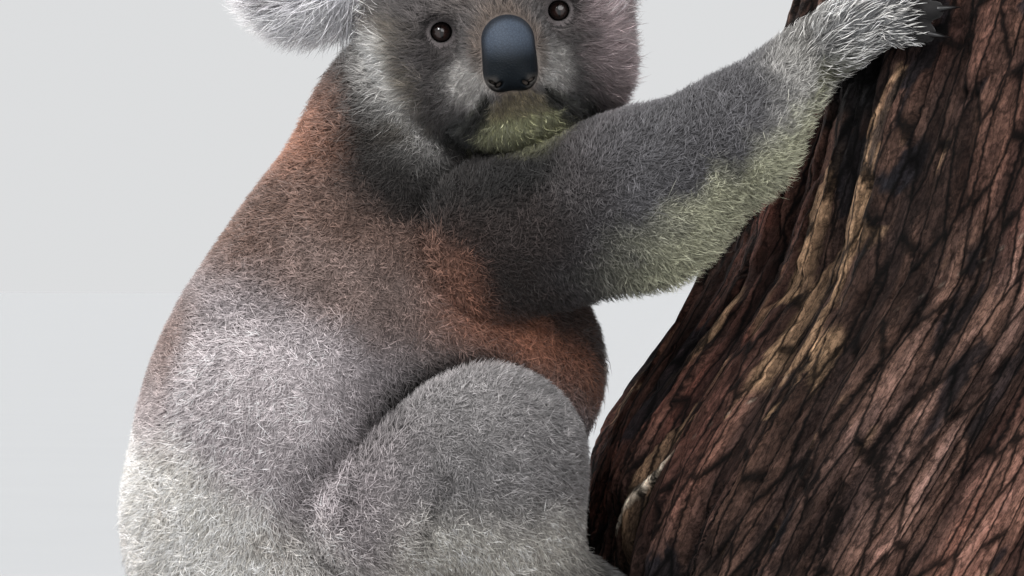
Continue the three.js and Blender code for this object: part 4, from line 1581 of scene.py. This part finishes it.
def trunk_cap(ring, upper):
    """The sawn end: rings of points from the bark's edge in to the middle."""
    edge = wall_points[ring]
    z = edge[0, 2]
    middle = np.array([log_middle(z), LOG_DEPTH, z])
    share = np.linspace(1, CAP_HOLE, CAP_RINGS)[1:, None, None]
    points = (middle + (edge - middle) * share).reshape(-1, 3)
    points[:, 2] += 0.35 * noise(points, [3, 60, 9], 71) * (1 if upper else -1)
    return points


cap_points, cap_quads = [], []
start = len(wall_points)
for ring, upper in ((at[-1], True), (at[0], False)):
    points = trunk_cap(ring, upper)
    quads = joined(np.concatenate([ring[None], np.arange(len(points)).reshape(-1, LOG_SIDES) + start]))
    cap_quads.append(quads if upper else quads[:, ::-1])
    cap_points.append(points)
    start += len(points)
cap_points = np.concatenate(cap_points)
q = cap_points - log_axis(cap_points[:, 2])
out = np.hypot(q[:, 0], q[:, 1]) / LOG_RADIUS
year = ease(-0.6, 1, np.sin(150 * (out + 0.02 * noise(q, 60, 72) + 0.006 * noise(q, 9, 73))))
cracks = bell(noise(stacked(np.arctan2(q[:, 1], q[:, 0]) * 4, 3 * out, 0 * out), 1.0, 75), 0.03)
cap_colours = layered(
    mix(linear(176, 132, 96), linear(142, 98, 70), year[:, None]),
    (linear(120, 66, 48), ease(0.72, 0.2, out + 0.05 * noise(q, 30, 74))),  # heartwood
    (linear(72, 46, 36), ease(0.9, 0.93, out)),  # bark
    (linear(70, 44, 34), 0.55 * cracks * ease(0.08, 0.3, out)),
)
n = Nodes("stringybark", 0.9, Specular_IOR_Level=0.12)
n.place = n.attribute("fibre", "Vector")
long_plates = (95, (1, 1, 0.17), 0.0022)
small_plates = (300, (1, 1, 0.22), 0.0018)
strings = n.noise(900, 4, (1, 1, 0.14), 0.7)
flakes = n.noise(520, 6, (1, 1, 0.55), 0.75)
n.tinted(
    n.ramp(n.plates(*long_plates, "F1"), (0.1, 0.7), (0.9, 1.5)),
    n.ramp(n.plates(*small_plates, "F1"), (0.1, 0.75), (0.9, 1.35)),
    n.ramp(strings, (0.36, 0.85), (0.62, 1.2)),
    n.ramp(flakes, (0.38, 0.55), (0.5, 1.05), (0.64, 1.65)),
    n.ramp(n.plates(*long_plates, "DISTANCE_TO_EDGE"), (0.02, 0.08), (0.1, 1.0)),
    n.ramp(n.plates(*small_plates, "DISTANCE_TO_EDGE"), (0.01, 0.45), (0.09, 1.0)),
)
relief = n.ramp(n.plates(*long_plates, "DISTANCE_TO_EDGE"), (0.0, 0.3), (0.14, 1.0))
n.bump(n.multiplied(flakes, relief), 1.0, 0.004)
trunk_points = np.concatenate([wall_points, cap_points])
trunk = new_piece(
    "trunk",
    trunk_points,
    np.concatenate([joined(at), *cap_quads]),
    n.material,
    np.concatenate([wall_colours, cap_colours]),
)
fibre_place = along_fibres(log_angle(trunk_points), trunk_points[:, 2]) / 1000
layer = trunk.data.attributes.new("fibre", "FLOAT_VECTOR", "POINT")
layer.data.foreach_set("vector", fibre_place.astype(np.float32).ravel())
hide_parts("perch_log")


# ---- the stand ----------------------------------------------------------------------------------
def lathed(name, centre, profile, sides, material):
    """A round piece from (radius, height) points, bottom to top, about an upright axis."""
    rings = len(profile)
    radii, heights = np.array(profile, float).T

    def place(t, angle):
        ring = np.rint(t * (rings - 1)).astype(int)
        x = centre[0] + radii[ring] * np.cos(angle)
        y = centre[1] + radii[ring] * np.sin(angle)
        return stacked(x, y, heights[ring])

    return new_piece(name, *turned_grid(rings, sides, place), material)


BASE_RADIUS = 270
BASE_HEIGHT = 24
BASE_EDGE = 6
BASE_SIDES = 160
ROD_RADIUS = 12
ROD_SIDES = 48
CENTRE_HOLE = 0.5  # radius left open at the middle of a turned piece
ROD_SPOTS = [(110, 50), (290, 50)]


def rounded(radius, height, edge):
    """A disc's profile with its upper edge rounded and its lower one broken."""
    turns = np.linspace(0, math.pi / 2, 9)
    upper = [(radius - edge + edge * math.cos(a), height - edge + edge * math.sin(a)) for a in turns]
    lower = [(CENTRE_HOLE, 0), (radius - 2.5, 0), (radius, 2.5)]
    return [*lower, *upper, (radius * 0.5, height), (CENTRE_HOLE, height)]


n = Nodes("walnut", 0.38, Coat_Weight=0.25, Coat_Roughness=0.2)
grain = n.noise(34, 8, (0.22, 2.2, 2.2), 0.62)
pores = n.noise(420, 3, (0.06, 1.6, 1.6))
walnut = n.ramp(grain, (0.3, linear(52, 33, 24)), (0.5, linear(92, 60, 42)), (0.68, linear(124, 84, 58)))
n.coloured(n.multiplied(walnut, n.ramp(pores, (0.38, 0.6), (0.55, 1.0))))
n.bump(pores, 0.15, 0.0004)
profile = rounded(BASE_RADIUS, BASE_HEIGHT, BASE_EDGE)
base = lathed("base", BASE_CENTRE, profile, BASE_SIDES, n.material)
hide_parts("stand_base")

FLANGE = [(7, -1), (7, 2), (5.5, 3.5), (0, 4)]  # past the rod's radius, and over the base
n = Nodes("brushed_steel", 0.3, Metallic=1.0)
steel = n.noise(300, 4, (1, 1, 0.03))
n.coloured(n.ramp(steel, (0.3, linear(150, 152, 156)), (0.7, linear(186, 188, 192))))
n.bump(n.noise(900, 2, (1, 1, 0.02)), 0.12, 0.0003)
flange = [(ROD_RADIUS + past, BASE_HEIGHT + up) for past, up in FLANGE]
top = [(ROD_RADIUS, LOG_BOTTOM + 1), (CENTRE_HOLE, LOG_BOTTOM + 1)]
profile = [(CENTRE_HOLE, BASE_HEIGHT - 1), *flange, *top]
for number, spot in enumerate(ROD_SPOTS):
    rod = lathed(f"rod_{number + 1}", spot, profile, ROD_SIDES, n.material)
    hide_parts(f"stand_rod_{number + 1}")


# ---- floor, light and camera --------------------------------------------------------------------
VIEW_HEIGHT = 347
VIEW_DISTANCE = 3000
SENSOR_WIDTH = 36
FOCAL_LENGTH = 181.8
LIT_MIDDLE = (0, 0, 330)
FLOOR_SIZE = 600  # metres


def look_at(thing, place, target):
    thing.location = world(place)
    way = Vector(world(target) - world(place))
    thing.rotation_mode = "QUATERNION"
    thing.rotation_quaternion = way.to_track_quat("-Z", "Y")
    bpy.context.scene.collection.objects.link(thing)


def sun(name, place, strength, width, colour):
    """An even light from the way that the place lies in, as wide in the sky as the degrees given."""
    data = bpy.data.lights.new(name, "SUN")
    data.energy = strength
    data.angle = math.radians(width)
    data.color = colour
    look_at(bpy.data.objects.new(name, data), place, LIT_MIDDLE)


sun("key", (-1300, -1100, 2100), 2.7, 45, (1.0, 0.97, 0.95))
sun("back", (-1700, 1300, 1500), 3.6, 30, (1.0, 0.95, 0.93))
sun("far_side", (1500, 1500, 1700), 1.6, 45, (0.95, 0.97, 1.0))
sun("front", (1000, -2200, 1300), 1.6, 50, (1.0, 0.98, 0.98))
sun("window", (-900, -2300, 1500), 1.2, 14, (1.0, 1.0, 1.0))  # the highlight in the eyes

camera = bpy.data.objects.new("camera", bpy.data.cameras.new("camera"))
camera.data.sensor_width = SENSOR_WIDTH
camera.data.lens = FOCAL_LENGTH
look_at(camera, (0, -VIEW_DISTANCE, VIEW_HEIGHT), (0, 0, VIEW_HEIGHT))
bpy.context.scene.camera = camera

sky = bpy.data.worlds.new("studio")
sky.use_nodes = True
background = sky.node_tree.nodes["Background"].inputs
background["Color"].default_value = (0.9, 0.91, 0.92, 1)
background["Strength"].default_value = 0.8
bpy.context.scene.world = sky
bpy.context.scene.view_settings.view_transform = "Standard"

bpy.ops.mesh.primitive_plane_add(size=FLOOR_SIZE)
floor = bpy.context.object
floor.name = "floor"
n = Nodes("pale_floor", 0.85, Specular_IOR_Level=0.1)
n.coloured(n.ramp(n.noise(3, 4), (0.3, (0.27, 0.279, 0.286)), (0.7, (0.275, 0.284, 0.291))))
floor.data.materials.append(n.material)
